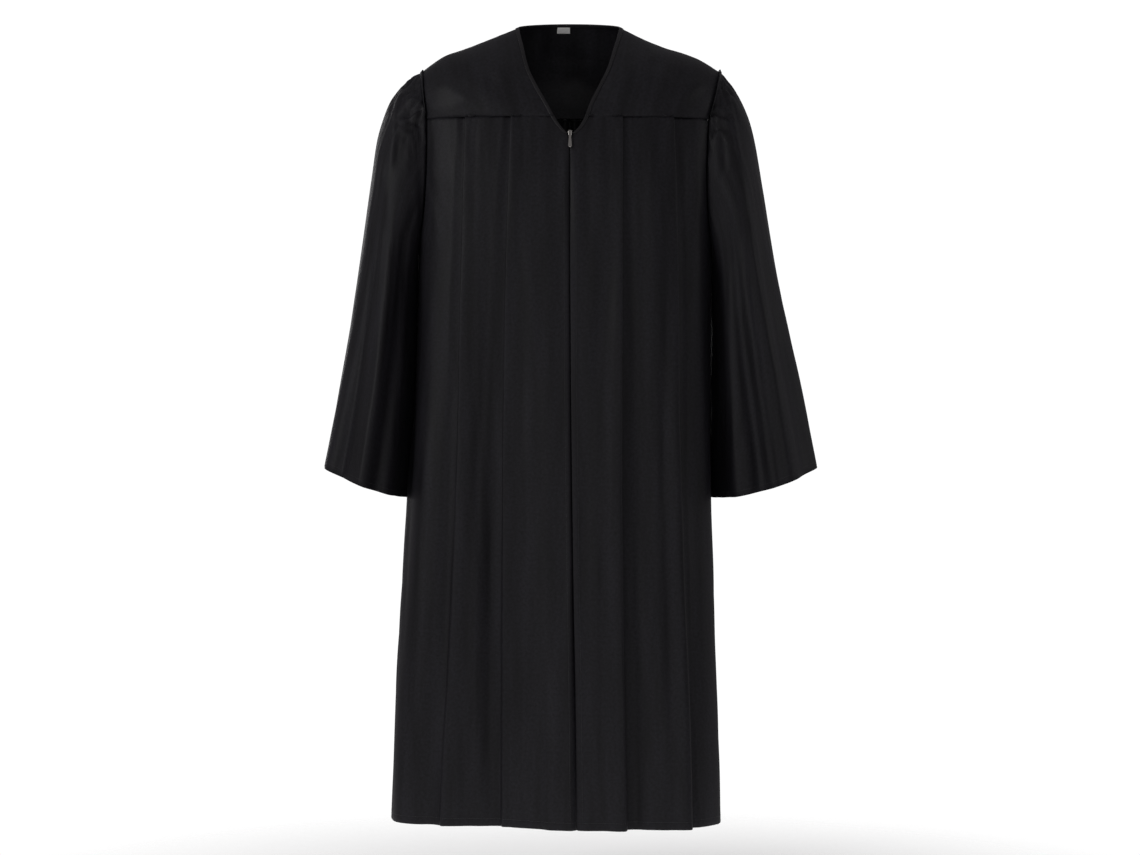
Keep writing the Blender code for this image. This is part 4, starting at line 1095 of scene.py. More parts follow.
@dataclass
class Sleeve:
    """Bell sleeve: gathered at the head, with long folds down to an open turned cuff."""

    side: Side
    finish: bpy.types.Material
    front_yoke: FrontYoke
    back_yoke: BackYoke
    flat: tuple[float, float] = (0.850, 0.720)
    area: float = 0.405
    cuff_sag: dict[Side, float] = field(default_factory=lambda: {Side.RIGHT: 0.0045, Side.LEFT: 0.0105})
    armhole_fade: float = 0.24
    seam_clearance: float = 0.0022
    body_clearance: float = 0.0016
    inner_fill: float = 0.011
    inner_angle: float = 146.0
    gather_height: float = 0.0036
    gather_peak: float = 0.022
    gather_end: float = 0.135
    gather_angle: float = 104.0
    gather_pitch: float = 11.0
    head_reach: float = 0.09
    head_step: float = 0.0048
    row_step: float = 0.0095
    folds: dict[Side, tuple[tuple[float, float, float, float, float], ...]] = field(
        default_factory=lambda: {
            Side.RIGHT: (
                (40, 38, 16, 0.001, 0.010),
                (66, 62, 15, -0.001, -0.013),
                (95, 92, 18, 0.002, 0.014),
                (136, 124, 17, 0.002, 0.010),
                (235, 238, 17, -0.002, -0.016),
                (265, 268, 16, 0.002, 0.012),
                (300, 300, 17, -0.001, -0.015),
            ),
            Side.LEFT: (
                (34, 32, 16, 0.001, 0.009),
                (68, 64, 17, 0.001, 0.012),
                (101, 97, 15, -0.003, -0.018),
                (126, 122, 15, 0.002, 0.011),
                (238, 240, 16, -0.002, -0.017),
                (270, 270, 17, 0.002, 0.012),
                (304, 302, 16, -0.001, -0.013),
            ),
        }
    )
    tucks: dict[Side, tuple[Crease, ...]] = field(
        default_factory=lambda: {
            Side.RIGHT: (
                Crease((-0.230, -0.1325), (-0.278, -0.1545), 0.0065, -0.0062),
                Crease((-0.246, -0.1080), (-0.268, -0.1260), 0.0060, 0.0042),
                Crease((-0.266, -0.1270), (-0.236, -0.1245), 0.0060, 0.0050),
                Crease((-0.232, -0.1260), (-0.262, -0.1440), 0.0055, 0.0040),
                Crease((-0.270, -0.1020), (-0.290, -0.1700), 0.0070, 0.0052),
                Crease((-0.286, -0.1100), (-0.290, -0.1480), 0.0060, -0.0046),
                Crease((-0.242, -0.0960), (-0.268, -0.1170), 0.0050, -0.0042),
                Crease((-0.230, -0.1660), (-0.266, -0.1560), 0.0060, -0.0046),
                Crease((-0.230, -0.1830), (-0.262, -0.1700), 0.0060, -0.0038),
                Crease((-0.282, -0.1500), (-0.288, -0.2500), 0.0090, 0.0036),
            ),
            Side.LEFT: (
                Crease((0.236, -0.0930), (0.266, -0.1160), 0.0055, -0.0046),
                Crease((0.246, -0.0900), (0.258, -0.1260), 0.0050, 0.0036),
                Crease((0.228, -0.1370), (0.262, -0.1450), 0.0055, 0.0046),
                Crease((0.226, -0.1440), (0.268, -0.1560), 0.0050, -0.0046),
                Crease((0.226, -0.1500), (0.262, -0.1650), 0.0055, 0.0042),
                Crease((0.224, -0.1720), (0.256, -0.1690), 0.0060, -0.0056),
                Crease((0.258, -0.1380), (0.276, -0.2300), 0.0080, 0.0040),
                Crease((0.240, -0.1760), (0.252, -0.2400), 0.0090, -0.0040),
            ),
        }
    )
    cloth: Cloth = field(init=False)

    def armhole(self) -> list[Vector]:
        """Points of the armhole from the shoulder down its front, under the arm and up its back."""
        steps = 48
        loop = [self.front_yoke.point(1, i / steps) for i in range(steps)]
        count = 26
        for face, top in ((Face.FRONT, FRONT_YOKE_DROP), (Face.BACK, BACK_YOKE_DROP)):
            drops = [mix(top, UNDERARM_DROP - 0.0005, 1 - (1 - i / count) ** 1.6) for i in range(count + 1)]
            places = [ring(round(d, 5), self.side, face) for d in drops]
            edge = [Vector(quarter.places([quarter.end()])[0]) for quarter in places]
            loop += edge if face is Face.FRONT else edge[::-1]
        loop += [self.back_yoke.point(self.side, 2, i / steps) for i in range(steps - 1, 0, -1)]
        return loop

    @lru_cache(maxsize=None)
    def ring(self, share: float) -> tuple[Vector, Vector, float, float]:
        """Middle of a ring, the way from it to the outer edge, and its depths to the front and back."""
        inner_drop = SLEEVE_RINGS.at("inner_drop", share)
        shift = SLEEVE_RINGS.at("shift", share)
        sign = self.side.value
        outer = Vector((sign * SLEEVE_RINGS.at(self.side.word, share), shift, -SLEEVE_RINGS.at("outer_drop", share)))
        inner = Vector((sign * (BODY_RINGS.at(self.side.word, inner_drop) + 0.0008), shift, -inner_drop))
        depths = SLEEVE_RINGS.at("front", share), SLEEVE_RINGS.at("back", share)
        return (outer + inner) / 2, (outer - inner) / 2, *depths

    __hash__ = object.__hash__

    def plain(self, share: float, angle: float) -> Vector:
        """Point of a ring with no folds."""
        centre, reach, front, back = self.ring(share)
        depth = front if math.sin(angle) > 0 else back
        return centre + reach * math.cos(angle) + Vector((0, -depth * math.sin(angle), 0))

    def clear(self, place: Vector, share: float) -> Vector:
        """The point moved sideways, where it has to be, until it is clear of the gown's body."""
        face = Face.FRONT if place.y < 0 else Face.BACK
        quarter = ring(round(-place.z, 3), self.side, face)
        if -place.z < BACK_YOKE_DROP or abs(place.y) >= abs(quarter.y[0]):
            return place
        along = float(np.interp(abs(place.y), np.abs(quarter.y)[::-1], quarter.length[::-1]))
        edge = quarter.places([along])[0]
        facing = abs(quarter.normals(np.array([along]))[0][0])
        near = mix(self.seam_clearance, self.body_clearance, ease(share / 0.06)) / max(facing, 0.5)
        if abs(place.x) < abs(edge[0]) + near:
            place.x = edge[0] + self.side.value * near
        return place

    def gather(self, degrees: float, share: float) -> float:
        """Height of the gathers at the head of the sleeve.

        Args:
            degrees: the angle round the sleeve, from its outer edge through the front.
            share: the share of the way to the cuff.

        Returns:
            The height there.
        """
        turned = (degrees + 180) % 360 - 180
        seed = 51 + self.side.value
        end = self.gather_end * (1 + 0.45 * ripple(turned / 13, 0.0, seed + 1))
        strength = ease(share / self.gather_peak) * ease(1 - share / end)
        phase = turned / self.gather_pitch + 0.75 * ripple(turned / 30, share * 26, seed)
        uneven = max(1 + 0.9 * ripple(turned / 17, share * 10, seed + 4), 0.15)
        edge = ease((self.gather_angle - abs(turned)) / 30)
        puff = 1.6 * abs(math.cos(math.pi * phase)) ** 0.7 - 1.0
        return self.gather_height * strength * edge * uneven * puff

    def point(self, start: Vector, angle: float, even: float, share: float) -> Vector:
        """Point of the sleeve on the line that leaves one point of the armhole.

        Args:
            start: the point of the armhole.
            angle: its angle round the first ring.
            even: the angle it would have if the points were evenly spaced.
            share: the share of the way to the cuff.

        Returns:
            The point.
        """
        offset = start - self.plain(0, angle)
        angle = mix(angle, even, 0.5 * ease(share * 1.5))
        place = self.plain(share, angle) + offset * (1 - ease(share / self.armhole_fade))
        radial = (place - self.ring(share)[0]).normalized()
        degrees = math.degrees(angle)
        height = 0.0
        for head_angle, cuff_angle, width, head_height, cuff_height in self.folds[self.side]:
            size = mix(head_height, cuff_height, ease(share)) * ease(share / 0.12)
            height += size * bump(degrees - mix(head_angle, cuff_angle, share), width)
        wave = math.cos(angle) * 2.2, math.sin(angle) * 2.2 + share * 0.9
        height += 0.0026 * ease(share / 0.15) * ripple(wave[0] * 1.5, wave[1] * 1.5, 61 + self.side.value)
        height += 0.0009 * ripple(wave[0] * 5, wave[1] * 2 + share * 5, 63 + self.side.value)
        crest = ease(abs((degrees + 180) % 360 - 180) / 34)
        height += sum(tuck.at(place.x, place.z) for tuck in self.tucks[self.side]) * ease(share / 0.012) * crest
        place = place + radial * (height + self.gather(degrees, share))
        fill = self.inner_fill * bump(abs((degrees + 180) % 360 - 180) - self.inner_angle, 180 - self.inner_angle)
        place.y -= math.copysign(fill, math.sin(angle)) * ease(share / 0.3)
        place.z -= self.cuff_sag[self.side] * max(math.sin(angle), 0) ** 2 * ease(share)
        if share == 0:
            place.x += self.side.value * 0.0012
            return place
        return self.clear(place, share)

    def build(self) -> bpy.types.Object:
        """Make the sleeve.

        Returns:
            The sleeve's object.
        """
        loop = self.armhole()
        centre, reach, front, back = self.ring(0.0)
        angles = []
        for place in loop:
            along = (place - centre).dot(reach.normalized()) / reach.length
            angles.append(math.atan2(-place.y / (front if place.y < 0 else back), along) % (2 * math.pi))
        angles[0] = 0.0
        turns = [2 * math.pi * i / len(loop) for i in range(len(loop))]
        falls = spread(0.0, self.head_reach, self.head_step, near_start=True)
        falls += spread(self.head_reach, 0.70, self.row_step)[1:]
        shares = [fall / 0.70 for fall in falls]
        grid = np.array([
            [self.point(place, angle, even, share) for place, angle, even in zip(loop, angles, turns)]
            for share in shares
        ])
        middles = np.array([self.ring(share)[0] for share in shares])
        height = np.array([[roll(share * 0.70)] * len(loop) for share in shares])
        self.cloth = Cloth(grid, around=True, centre=middles).lift(height).turn_in("top").hem()
        made = self.cloth.piece(f"sleeve_{self.side.word}_cloth", self.finish)
        link(made, BODY, [f"sleeve_{self.side.word}"])
        return made


@dataclass
class StitchTree:
    """Geometry Nodes that lay small rounded shapes along a path: stitches, or the coil of a zip."""

    name: str
    tree: bpy.types.NodeTree = field(init=False)

    def __post_init__(self) -> None:
        """Build the tree."""
        tree = bpy.data.node_groups.new(self.name, "GeometryNodeTree")
        sockets = tree.interface
        sockets.new_socket("Path", in_out="INPUT", socket_type="NodeSocketGeometry")
        for label in ("Pitch", "Length", "Width", "Height"):
            sockets.new_socket(label, in_out="INPUT", socket_type="NodeSocketFloat")
        sockets.new_socket("Finish", in_out="INPUT", socket_type="NodeSocketMaterial")
        sockets.new_socket("Shapes", in_out="OUTPUT", socket_type="NodeSocketGeometry")
        given = add_node(tree, "NodeGroupInput").outputs
        curve = add_node(tree, "GeometryNodeMeshToCurve", {"Mesh": given["Path"]})
        points = add_node(
            tree, "GeometryNodeResampleCurve", {"Curve": curve.outputs[0], "Length": given["Pitch"]}, mode="LENGTH"
        )
        tangent = add_node(tree, "GeometryNodeInputTangent")
        facing = add_node(
            tree, "FunctionNodeAlignRotationToVector", {"Vector": tangent.outputs[0]}, axis="Z", pivot_axis="AUTO"
        )
        bead = add_node(tree, "GeometryNodeMeshUVSphere", {"Segments": 6, "Rings": 4, "Radius": 0.5})
        size = add_node(
            tree, "ShaderNodeCombineXYZ", {"X": given["Width"], "Y": given["Height"], "Z": given["Length"]}
        )
        laid = add_node(
            tree, "GeometryNodeInstanceOnPoints",
            {"Points": points.outputs[0], "Instance": bead.outputs[0], "Rotation": facing.outputs[0],
             "Scale": size.outputs[0]},
        )
        real = add_node(tree, "GeometryNodeRealizeInstances", {"Geometry": laid.outputs[0]})
        dressed = add_node(
            tree, "GeometryNodeSetMaterial", {"Geometry": real.outputs[0], "Material": given["Finish"]}
        )
        add_node(tree, "NodeGroupOutput", {"Shapes": dressed.outputs[0]})
        self.tree = tree

    def lay(self, name: str, paths: Sequence[np.ndarray], finish: bpy.types.Material, pitch: float, length: float,
            width: float, height: float) -> bpy.types.Object:
        """Lay shapes along paths and turn them into a plain mesh.

        Args:
            name: the new piece's name.
            paths: arrays of points, one per path.
            finish: the material.
            pitch: distance between shapes.
            length: length of a shape along the path.
            width: its width.
            height: its height.

        Returns:
            The piece's object, not yet on a body.
        """
        verts: list[list[float]] = []
        edges: list[tuple[int, int]] = []
        for path in paths:
            edges += [(len(verts) + i, len(verts) + i + 1) for i in range(len(path) - 1)]
            verts += np.asarray(path).tolist()
        guide_mesh = bpy.data.meshes.new(name + "_path")
        guide_mesh.from_pydata(verts, edges, [])
        guide = bpy.data.objects.new(name + "_path", guide_mesh)
        bpy.context.scene.collection.objects.link(guide)
        nodes = guide.modifiers.new("stitches", "NODES")
        nodes.node_group = self.tree
        values = {"Pitch": pitch, "Length": length, "Width": width, "Height": height, "Finish": finish}
        for item in self.tree.interface.items_tree:
            if item.name in values:
                nodes[item.identifier] = values[item.name]
        graph = bpy.context.evaluated_depsgraph_get()
        mesh = bpy.data.meshes.new_from_object(guide.evaluated_get(graph))
        bpy.data.objects.remove(guide)
        mesh.name = name
        made = bpy.data.objects.new(name, mesh)
        bpy.context.scene.collection.objects.link(made)
        mesh.shade_smooth()
        return made


def surface_line(cloth: Cloth, row: float | None = None, column: int | None = None, out: float = 0.00045) -> np.ndarray:
    """Line on a cloth's outer face, along a row or a column.

    Args:
        cloth: the cloth.
        row: the row, whole or between two.
        column: the column.
        out: how far the line stands out of the cloth's middle.

    Returns:
        The line's points.
    """
    lifted = cloth.points + cloth.normals() * out
    if column is not None:
        return lifted[:, column]
    low = int(row)
    return lifted[low] * (low + 1 - row) + lifted[low + 1] * (row - low)


@dataclass
class NeckBinding:
    """Narrow bias strip folded round the V edges and the back neck, with a stitched edge."""

    finish: bpy.types.Material
    width: float = 0.0052
    wall: float = 0.0006
    gap: float = 0.0004

    def edge(self, side: Side, panel: FrontPanel, yoke: FrontYoke, back: BackYoke) -> list[tuple[Vector, Vector]]:
        """Places along one side's neck edge from the V's foot to the back's middle, with the ways into the cloth."""
        pairs = []
        for drop in (0.1855, 0.182, 0.178, 0.174, 0.169, 0.164, 0.160):
            quarter = ring(drop, side, Face.FRONT)
            start = quarter.along_at(panel.edge_x(drop))
            here, beside = (Vector(p) for p in quarter.places([start, start + 0.004], [0.0, 0.0]))
            pairs.append((here, beside))
        for i in range(44, 0, -1):
            pairs.append((yoke.point(0, i / 44), yoke.point(0.03, i / 44)))
        pairs.append((back.point(side, 1, 0), back.point(side, 1.05, 0)))
        for i in range(15, -1, -1):
            pairs.append((back.point(side, i / 16, 0), back.point(side, i / 16, 0.04)))
        return [(place, (beside - place).normalized()) for place, beside in pairs]

    def build(self, panels: dict[Side, FrontPanel], yokes: dict[Side, FrontYoke], back: BackYoke,
              stitches: StitchTree, thread: bpy.types.Material) -> None:
        """Make the binding and its line of stitches.

        Args:
            panels: the front panels.
            yokes: the front yokes.
            back: the back yoke.
            stitches: the tree that lays stitches.
            thread: the stitches' material.
        """
        right = self.edge(Side.RIGHT, panels[Side.RIGHT], yokes[Side.RIGHT], back)
        left = self.edge(Side.LEFT, panels[Side.LEFT], yokes[Side.LEFT], back)
        pairs = right + left[::-1][1:]
        inner = CLOTH_WALL / 2 + self.gap
        outer = inner + self.wall
        half = [(self.width, inner), (self.width * 0.96, outer), (self.width * 0.5, outer * 1.06), (0.0005, outer)]
        half += [(-outer * math.sin(a) * 0.9, outer * math.cos(a)) for a in map(math.radians, (30, 60))]
        section = [*half, (-outer * 0.9, 0.0), *[(a, -b) for a, b in reversed(half)]]
        section += [(0.0, -inner * 0.9), (-inner * 0.5, 0.0), (0.0, inner * 0.9)]
        rows, line = [], []
        for i, (place, inward) in enumerate(pairs):
            along = pairs[min(i + 1, len(pairs) - 1)][0] - pairs[max(i - 1, 0)][0]
            facing = along.cross(inward).normalized()
            wave = 1 + 0.05 * ripple(i / 5, 0, 71)
            rows.append([place + inward * a * wave + facing * b for a, b in section])
            line.append(place + inward * self.width * 0.80 + facing * (outer + 0.0001))
        made_mesh = bpy.data.meshes.new("neck_binding_strip")
        form = bmesh.new()
        verts = [[form.verts.new(p) for p in row] for row in rows]
        for lower, upper in zip(verts, verts[1:]):
            for c in range(len(section)):
                n = (c + 1) % len(section)
                form.faces.new((lower[c], lower[n], upper[n], upper[c]))
        form.faces.new(verts[0][::-1])
        form.faces.new(verts[-1])
        bmesh.ops.recalc_face_normals(form, faces=form.faces)
        layer = form.loops.layers.uv.new("lie")
        for face in form.faces:
            for corner in face.loops:
                row, column = divmod(corner.vert.index, len(section))
                corner[layer].uv = (column * 0.0006 + row * 0.002, row * 0.004 - column * 0.0006)
        form.to_mesh(made_mesh)
        form.free()
        made_mesh.shade_smooth()
        made = bpy.data.objects.new("neck_binding_strip", made_mesh)
        made.data.materials.append(self.finish)
        link(made, BODY, ["neck_binding"])
        sewn = stitches.lay("neck_stitches", [np.array(line[2:-2])], thread, 0.0028, 0.0021, 0.00045, 0.0004)
        link(sewn, BODY)


@dataclass
class Zip:
    """Concealed zip: a woven tape with a nylon coil behind the folded front edges."""

    tape_finish: bpy.types.Material
    coil_finish: bpy.types.Material
    width: float = 0.024
    setback: float = 0.0036
    top_drop: float = 0.1838
    end_drop: float = 1.120
    flat: tuple[float, float] = (0.024, 0.940)

    def middle(self, drop: float) -> Vector:
        """Middle of the tape at a drop."""
        groove = BODY_RINGS.at("groove", drop) * ease((drop - FRONT_YOKE_DROP) / 0.05)
        depth = BODY_RINGS.at("front_left", drop) - groove - self.setback
        return Vector((BODY_RINGS.at("zip_x", drop), -depth, -drop))

    def build(self, coil: StitchTree) -> None:
        """Make the tape and its coil.

        Args:
            coil: the tree that lays the coil.
        """
        drops = spread(self.top_drop, self.end_drop, 0.012)
        rows = [[self.middle(d) + Vector((self.width * a, 0.0004 * abs(a) * 4, 0)) for a in
                 (-0.5, -0.35, -0.15, 0, 0.15, 0.35, 0.5)] for d in drops]
        made = Cloth(np.array(rows)).piece("zip_tape_cloth", self.tape_finish, 0.0006)
        link(made, BODY, ["zip_tape"])
        path = np.array([self.middle(d) + Vector((0, -0.0012, 0)) for d in drops if d > 0.192])
        teeth = coil.lay("zip_coil", [path], self.coil_finish, 0.0018, 0.0013, 0.0048, 0.0014)
        link(teeth, BODY)


@dataclass
class Slider:
    """Nickelled zip slider with its arch, and the drop-shaped pull tab that hangs from it."""

    finish: bpy.types.Material
    top_drop: float = 0.1803
    height: float = 0.0094
    width: float = 0.0060
    face_out: float = 0.0034
    back_in: float = 0.0078
    plate: float = 0.0011
    arch_half: float = 0.0026
    arch_clear: float = 0.0018
    arch_bar: float = 0.0008
    pull_length: float = 0.024
    pull_thick: float = 0.0010

    def place(self, local: Sequence[float]) -> Vector:
        """Point of the gown at a place on the slider, whose Z runs up the zip and -Y points out."""
        drop = self.top_drop + self.height / 2
        below = BODY_RINGS.at("front_left", V_FOOT_DROP + 0.012)
        above = BODY_RINGS.at("front_left", V_FOOT_DROP)
        tilt = -math.atan2(below - above, 0.012)
        x, y, z = local
        turned = (x, y * math.cos(tilt) - z * math.sin(tilt), y * math.sin(tilt) + z * math.cos(tilt))
        return Vector(turned) + Vector((0, -BODY_RINGS.at("front_left", drop), -drop))

    def solid(self, form: bmesh.types.BMesh, outline: Sequence[tuple[float, float]], near: float, far: float,
              crown: float = 0.0) -> None:
        """Add a closed plate to a form: an outline in X and Z between two depths, its front crowned.

        Args:
            form: the form to add to.
            outline: the outline, anticlockwise seen from the front.
            near: the depth of its front face.
            far: the depth of its back face.
            crown: how far the front's middle stands proud.
        """
        middle_x = sum(x for x, _ in outline) / len(outline)
        middle_z = sum(z for _, z in outline) / len(outline)
        rings = []
        edge = min(0.0002, (far - near) * 0.3)
        for inset, depth in ((0.0, far - edge), (0.0, near + edge), (0.06, near + edge * 0.3), (0.12, near),
                             (0.55, near - crown * 0.8)):
            rings.append([
                form.verts.new(self.place((mix(x, middle_x, inset), depth, mix(z, middle_z, inset))))
                for x, z in outline
            ])
        back = [form.verts.new(self.place((mix(x, middle_x, 0.06), far, mix(z, middle_z, 0.06)))) for x, z in outline]
        rings.insert(0, back)
        for lower, upper in zip(rings, rings[1:]):
            for i in range(len(outline)):
                n = (i + 1) % len(outline)
                form.faces.new((lower[i], lower[n], upper[n], upper[i]))
        form.faces.new(rings[0][::-1])
        tip = form.verts.new(self.place((middle_x, near - crown, middle_z)))
        for i in range(len(outline)):
            form.faces.new((rings[-1][i], rings[-1][(i + 1) % len(outline)], tip))

    @staticmethod
    def rounded(half_x: float, low: float, high: float, corner: float, taper: float = 1.0) -> list[tuple[float, float]]:
        """Rounded rectangle, narrower at its low end by the taper."""
        points = []
        for cx, cz, start in ((half_x, high, 0), (-half_x, high, 90), (-half_x * taper, low, 180), (half_x * taper, low, 270)):
            inner_x = cx - math.copysign(corner, cx)
            inner_z = cz - corner if cz == high else cz + corner
            for step in range(5):
                turn = math.radians(start + step * 22.5)
                points.append((inner_x + corner * math.cos(turn), inner_z + corner * math.sin(turn)))
        return points

    def build(self) -> None:
        """Make the slider and its pull."""
        top = self.height / 2
        form = bmesh.new()
        face = -self.face_out
        self.solid(form, self.rounded(self.width / 2, -top, top, 0.0012, 0.78), face, face + self.plate, 0.0003)
        self.solid(form, self.rounded(self.width / 2, -top, top, 0.0012, 0.78), self.back_in - self.plate, self.back_in)
        self.solid(form, self.rounded(self.width * 0.36, top - 0.0018, top - 0.0002, 0.0004),
                   face + self.plate / 2, self.back_in - self.plate / 2)
        self.arch(form)
        bmesh.ops.recalc_face_normals(form, faces=form.faces)
        self.finished(form, "slider_cast", BODY, "zip_slider")
        form = bmesh.new()
        self.pull(form)
        bmesh.ops.recalc_face_normals(form, faces=form.faces)
        self.finished(form, "pull_tab_cast", PULL_BODY, "zip_pull")

    def arch(self, form: bmesh.types.BMesh) -> None:
        """Add the small arch that the pull hangs from."""
        face = -self.face_out
        crest = face - self.arch_clear - self.arch_bar / 2
        path = [(face + 0.0003, self.arch_half - 0.0003)]
        path += [(mix(face, crest, math.sin(t)), (self.arch_half - 0.0003) * math.cos(t * 0.5))
                 for t in (0.5, 0.9, 1.3, math.pi / 2)]
        path += [(crest, 0.0008), (crest, -0.0008)]
        path += [(y, -z) for y, z in reversed(path[:5])]
        rings = []
        for i, (y, z) in enumerate(path):
            before, after = path[max(i - 1, 0)], path[min(i + 1, len(path) - 1)]
            along = Vector((0, after[0] - before[0], after[1] - before[1])).normalized()
            side = Vector((1, 0, 0))
            up = along.cross(side)
            rings.append([
                form.verts.new(self.place(Vector((0, y, z)) + side * 0.00062 * math.cos(a) + up * 0.0004 * math.sin(a)))
                for a in (math.radians(45 * k) for k in range(8))
            ])
        for lower, upper in zip(rings, rings[1:]):
            for i in range(8):
                form.faces.new((lower[i], lower[(i + 1) % 8], upper[(i + 1) % 8], upper[i]))
        form.faces.new(rings[0][::-1])
        form.faces.new(rings[-1])

    def pull(self, form: bmesh.types.BMesh) -> None:
        """Add the pull tab: a slim drop with a window round the arch's bar."""
        side = [(0.0021, 0.0005), (0.0021, -0.0055), (0.00186, -0.0080), (0.0022, -0.0110), (0.0030, -0.0205)]
        side += [(0.0030 * math.cos(a), -0.0210 - 0.0030 * math.sin(a)) for a in map(math.radians, (20, 45, 70))]
        outline = side + [(0.0, -self.pull_length)] + [(-x, z) for x, z in reversed(side)]
        middle, half_x, half_z = -0.00225, 0.0011, 0.00175
        corners = ((1, 1), (1, 0), (1, -1), (0, -1), (-1, -1), (-1, 0), (-1, 1), (0, 1))
        window = [(half_x * x, middle + half_z * z) for x, z in corners]
        outer = self.tab_wall(form, outline, 0.96, -0.0118)
        inner = self.tab_wall(form, window, 1.06, middle)
        for loops in zip(outer, inner):
            edges = [form.edges.get((loop[i], loop[(i + 1) % len(loop)])) for loop in loops for i in range(len(loop))]
            bmesh.ops.triangle_fill(form, use_beauty=True, use_dissolve=False, edges=edges)

    def tab_wall(self, form: bmesh.types.BMesh, points: Sequence[tuple[float, float]], scale: float,
                 middle: float) -> tuple[list[bmesh.types.BMVert], list[bmesh.types.BMVert]]:
        """Add the wall along one outline of the pull tab, eased at both faces.

        Args:
            form: the form to add to.
            points: the outline.
            scale: size of the outline at the faces, against its size between them.
            middle: height that the scale leaves in place.

        Returns:
            The vertices at the back face and at the front face.
        """
        half = self.pull_thick / 2
        depth = -(self.face_out + 0.0009)
        rings = [
            [form.verts.new(self.place((x * size, depth + y, mix(middle, z, size)))) for x, z in points]
            for size, y in ((scale, half), (1.0, half * 0.6), (1.0, -half * 0.6), (scale, -half))
        ]
        for lower, upper in zip(rings, rings[1:]):
            for i in range(len(points)):
                n = (i + 1) % len(points)
                form.faces.new((lower[i], lower[n], upper[n], upper[i]))
        return rings[0], rings[-1]

    def finished(self, form: bmesh.types.BMesh, name: str, body: str, node: str) -> None:
        """Turn a form into a piece on its body, in place of its CAD node."""
        mesh = bpy.data.meshes.new(name)
        form.to_mesh(mesh)
        form.free()
        mesh.materials.append(self.finish)
        link(bpy.data.objects.new(name, mesh), body, [node])


@dataclass
class Label:
    """Small white satin tab sewn inside the back neck, bare."""

    finish: bpy.types.Material
    width: float = 0.020
    height: float = 0.0115
    middle_x: float = -0.010
    top: float = 0.0044
    flat: tuple[float, float] = (0.021, 0.012)

    def build(self, back: BackYoke, stitches: StitchTree, thread: bpy.types.Material) -> None:
        """Make the label and its two lines of stitches.

        Args:
            back: the back yoke.
            stitches: the tree that lays stitches.
            thread: the stitches' material.
        """
        rows = []
        for share in (0, 0.06, 0.2, 0.4, 0.6, 0.8, 0.94, 1):
            row = []
            for across in (-0.5, -0.46, -0.3, -0.15, 0, 0.15, 0.3, 0.46, 0.5):
                x = self.middle_x + self.width * across
                side = Side.RIGHT if x < 0 else Side.LEFT
                place = math.asin(min(abs(x) / SHOULDER_CREST.at(side.word, 0), 1)) * 2 / math.pi
                top = back.point(side, place, 0)
                below = back.point(side, place, 0.12)
                down = (below - top).normalized()
                facing = Vector((1, 0, 0)).cross(down).normalized()
                swell = 0.0003 * math.sin(math.pi * share) + 0.0002 * ripple(across * 2, share * 2, 81)
                row.append(top + down * (self.top + self.height * share) - facing * (0.0013 + swell))
            rows.append(row)
        cloth = Cloth(np.array(rows))
        made = cloth.piece("neck_label_satin", self.finish, 0.0004)
        link(made, BODY, ["neck_label"])
        lines = [surface_line(cloth, row=1.4, out=-0.0003), surface_line(cloth, row=5.8, out=-0.0003)]
        link(stitches.lay("label_stitches", lines, thread, 0.0016, 0.0012, 0.00025, 0.00022), BODY)


@dataclass
class Sewing:
    """Lines of machine stitches on the hem, the cuffs and beside the zip."""

    thread: bpy.types.Material
    pitch: float = 0.0036
    length: float = 0.0028
    width: float = 0.00042
    height: float = 0.00034

    def lay(self, stitches: StitchTree, name: str, lines: Sequence[np.ndarray]) -> None:
        """Lay one set of lines.

        Args:
            stitches: the tree that lays stitches.
            name: the piece's name.
            lines: the lines.
        """
        made = stitches.lay(name, lines, self.thread, self.pitch, self.length, self.width, self.height)
        link(made, BODY)

    def build(self, stitches: StitchTree, panels: dict[Side, FrontPanel], back: BackPanel,
              sleeves: dict[Side, Sleeve]) -> None:
        """Lay every line.

        Args:
            stitches: the tree that lays stitches.
            panels: the front panels.
            back: the back panel.
            sleeves: the sleeves.
        """
        hem_rows = 6
        fronts = [surface_line(panel.cloth, row=len(panel.cloth.points) - hem_rows - 2.4)[9:-2]
                  for panel in panels.values()]
        rear = surface_line(back.cloth, row=len(back.cloth.points) - hem_rows - 2.4)[2:-2]
        self.lay(stitches, "hem_stitches", [*fronts, rear])
        cuffs = []
        for sleeve in sleeves.values():
            line = surface_line(sleeve.cloth, row=len(sleeve.cloth.points) - hem_rows - 2.2)
            cuffs.append(np.concatenate([line, line[:1]]))
        self.lay(stitches, "cuff_stitches", cuffs)
        beside = [surface_line(panel.cloth, column=14)[20:-8] for panel in panels.values()]
        self.lay(stitches, "zip_stitches", beside)


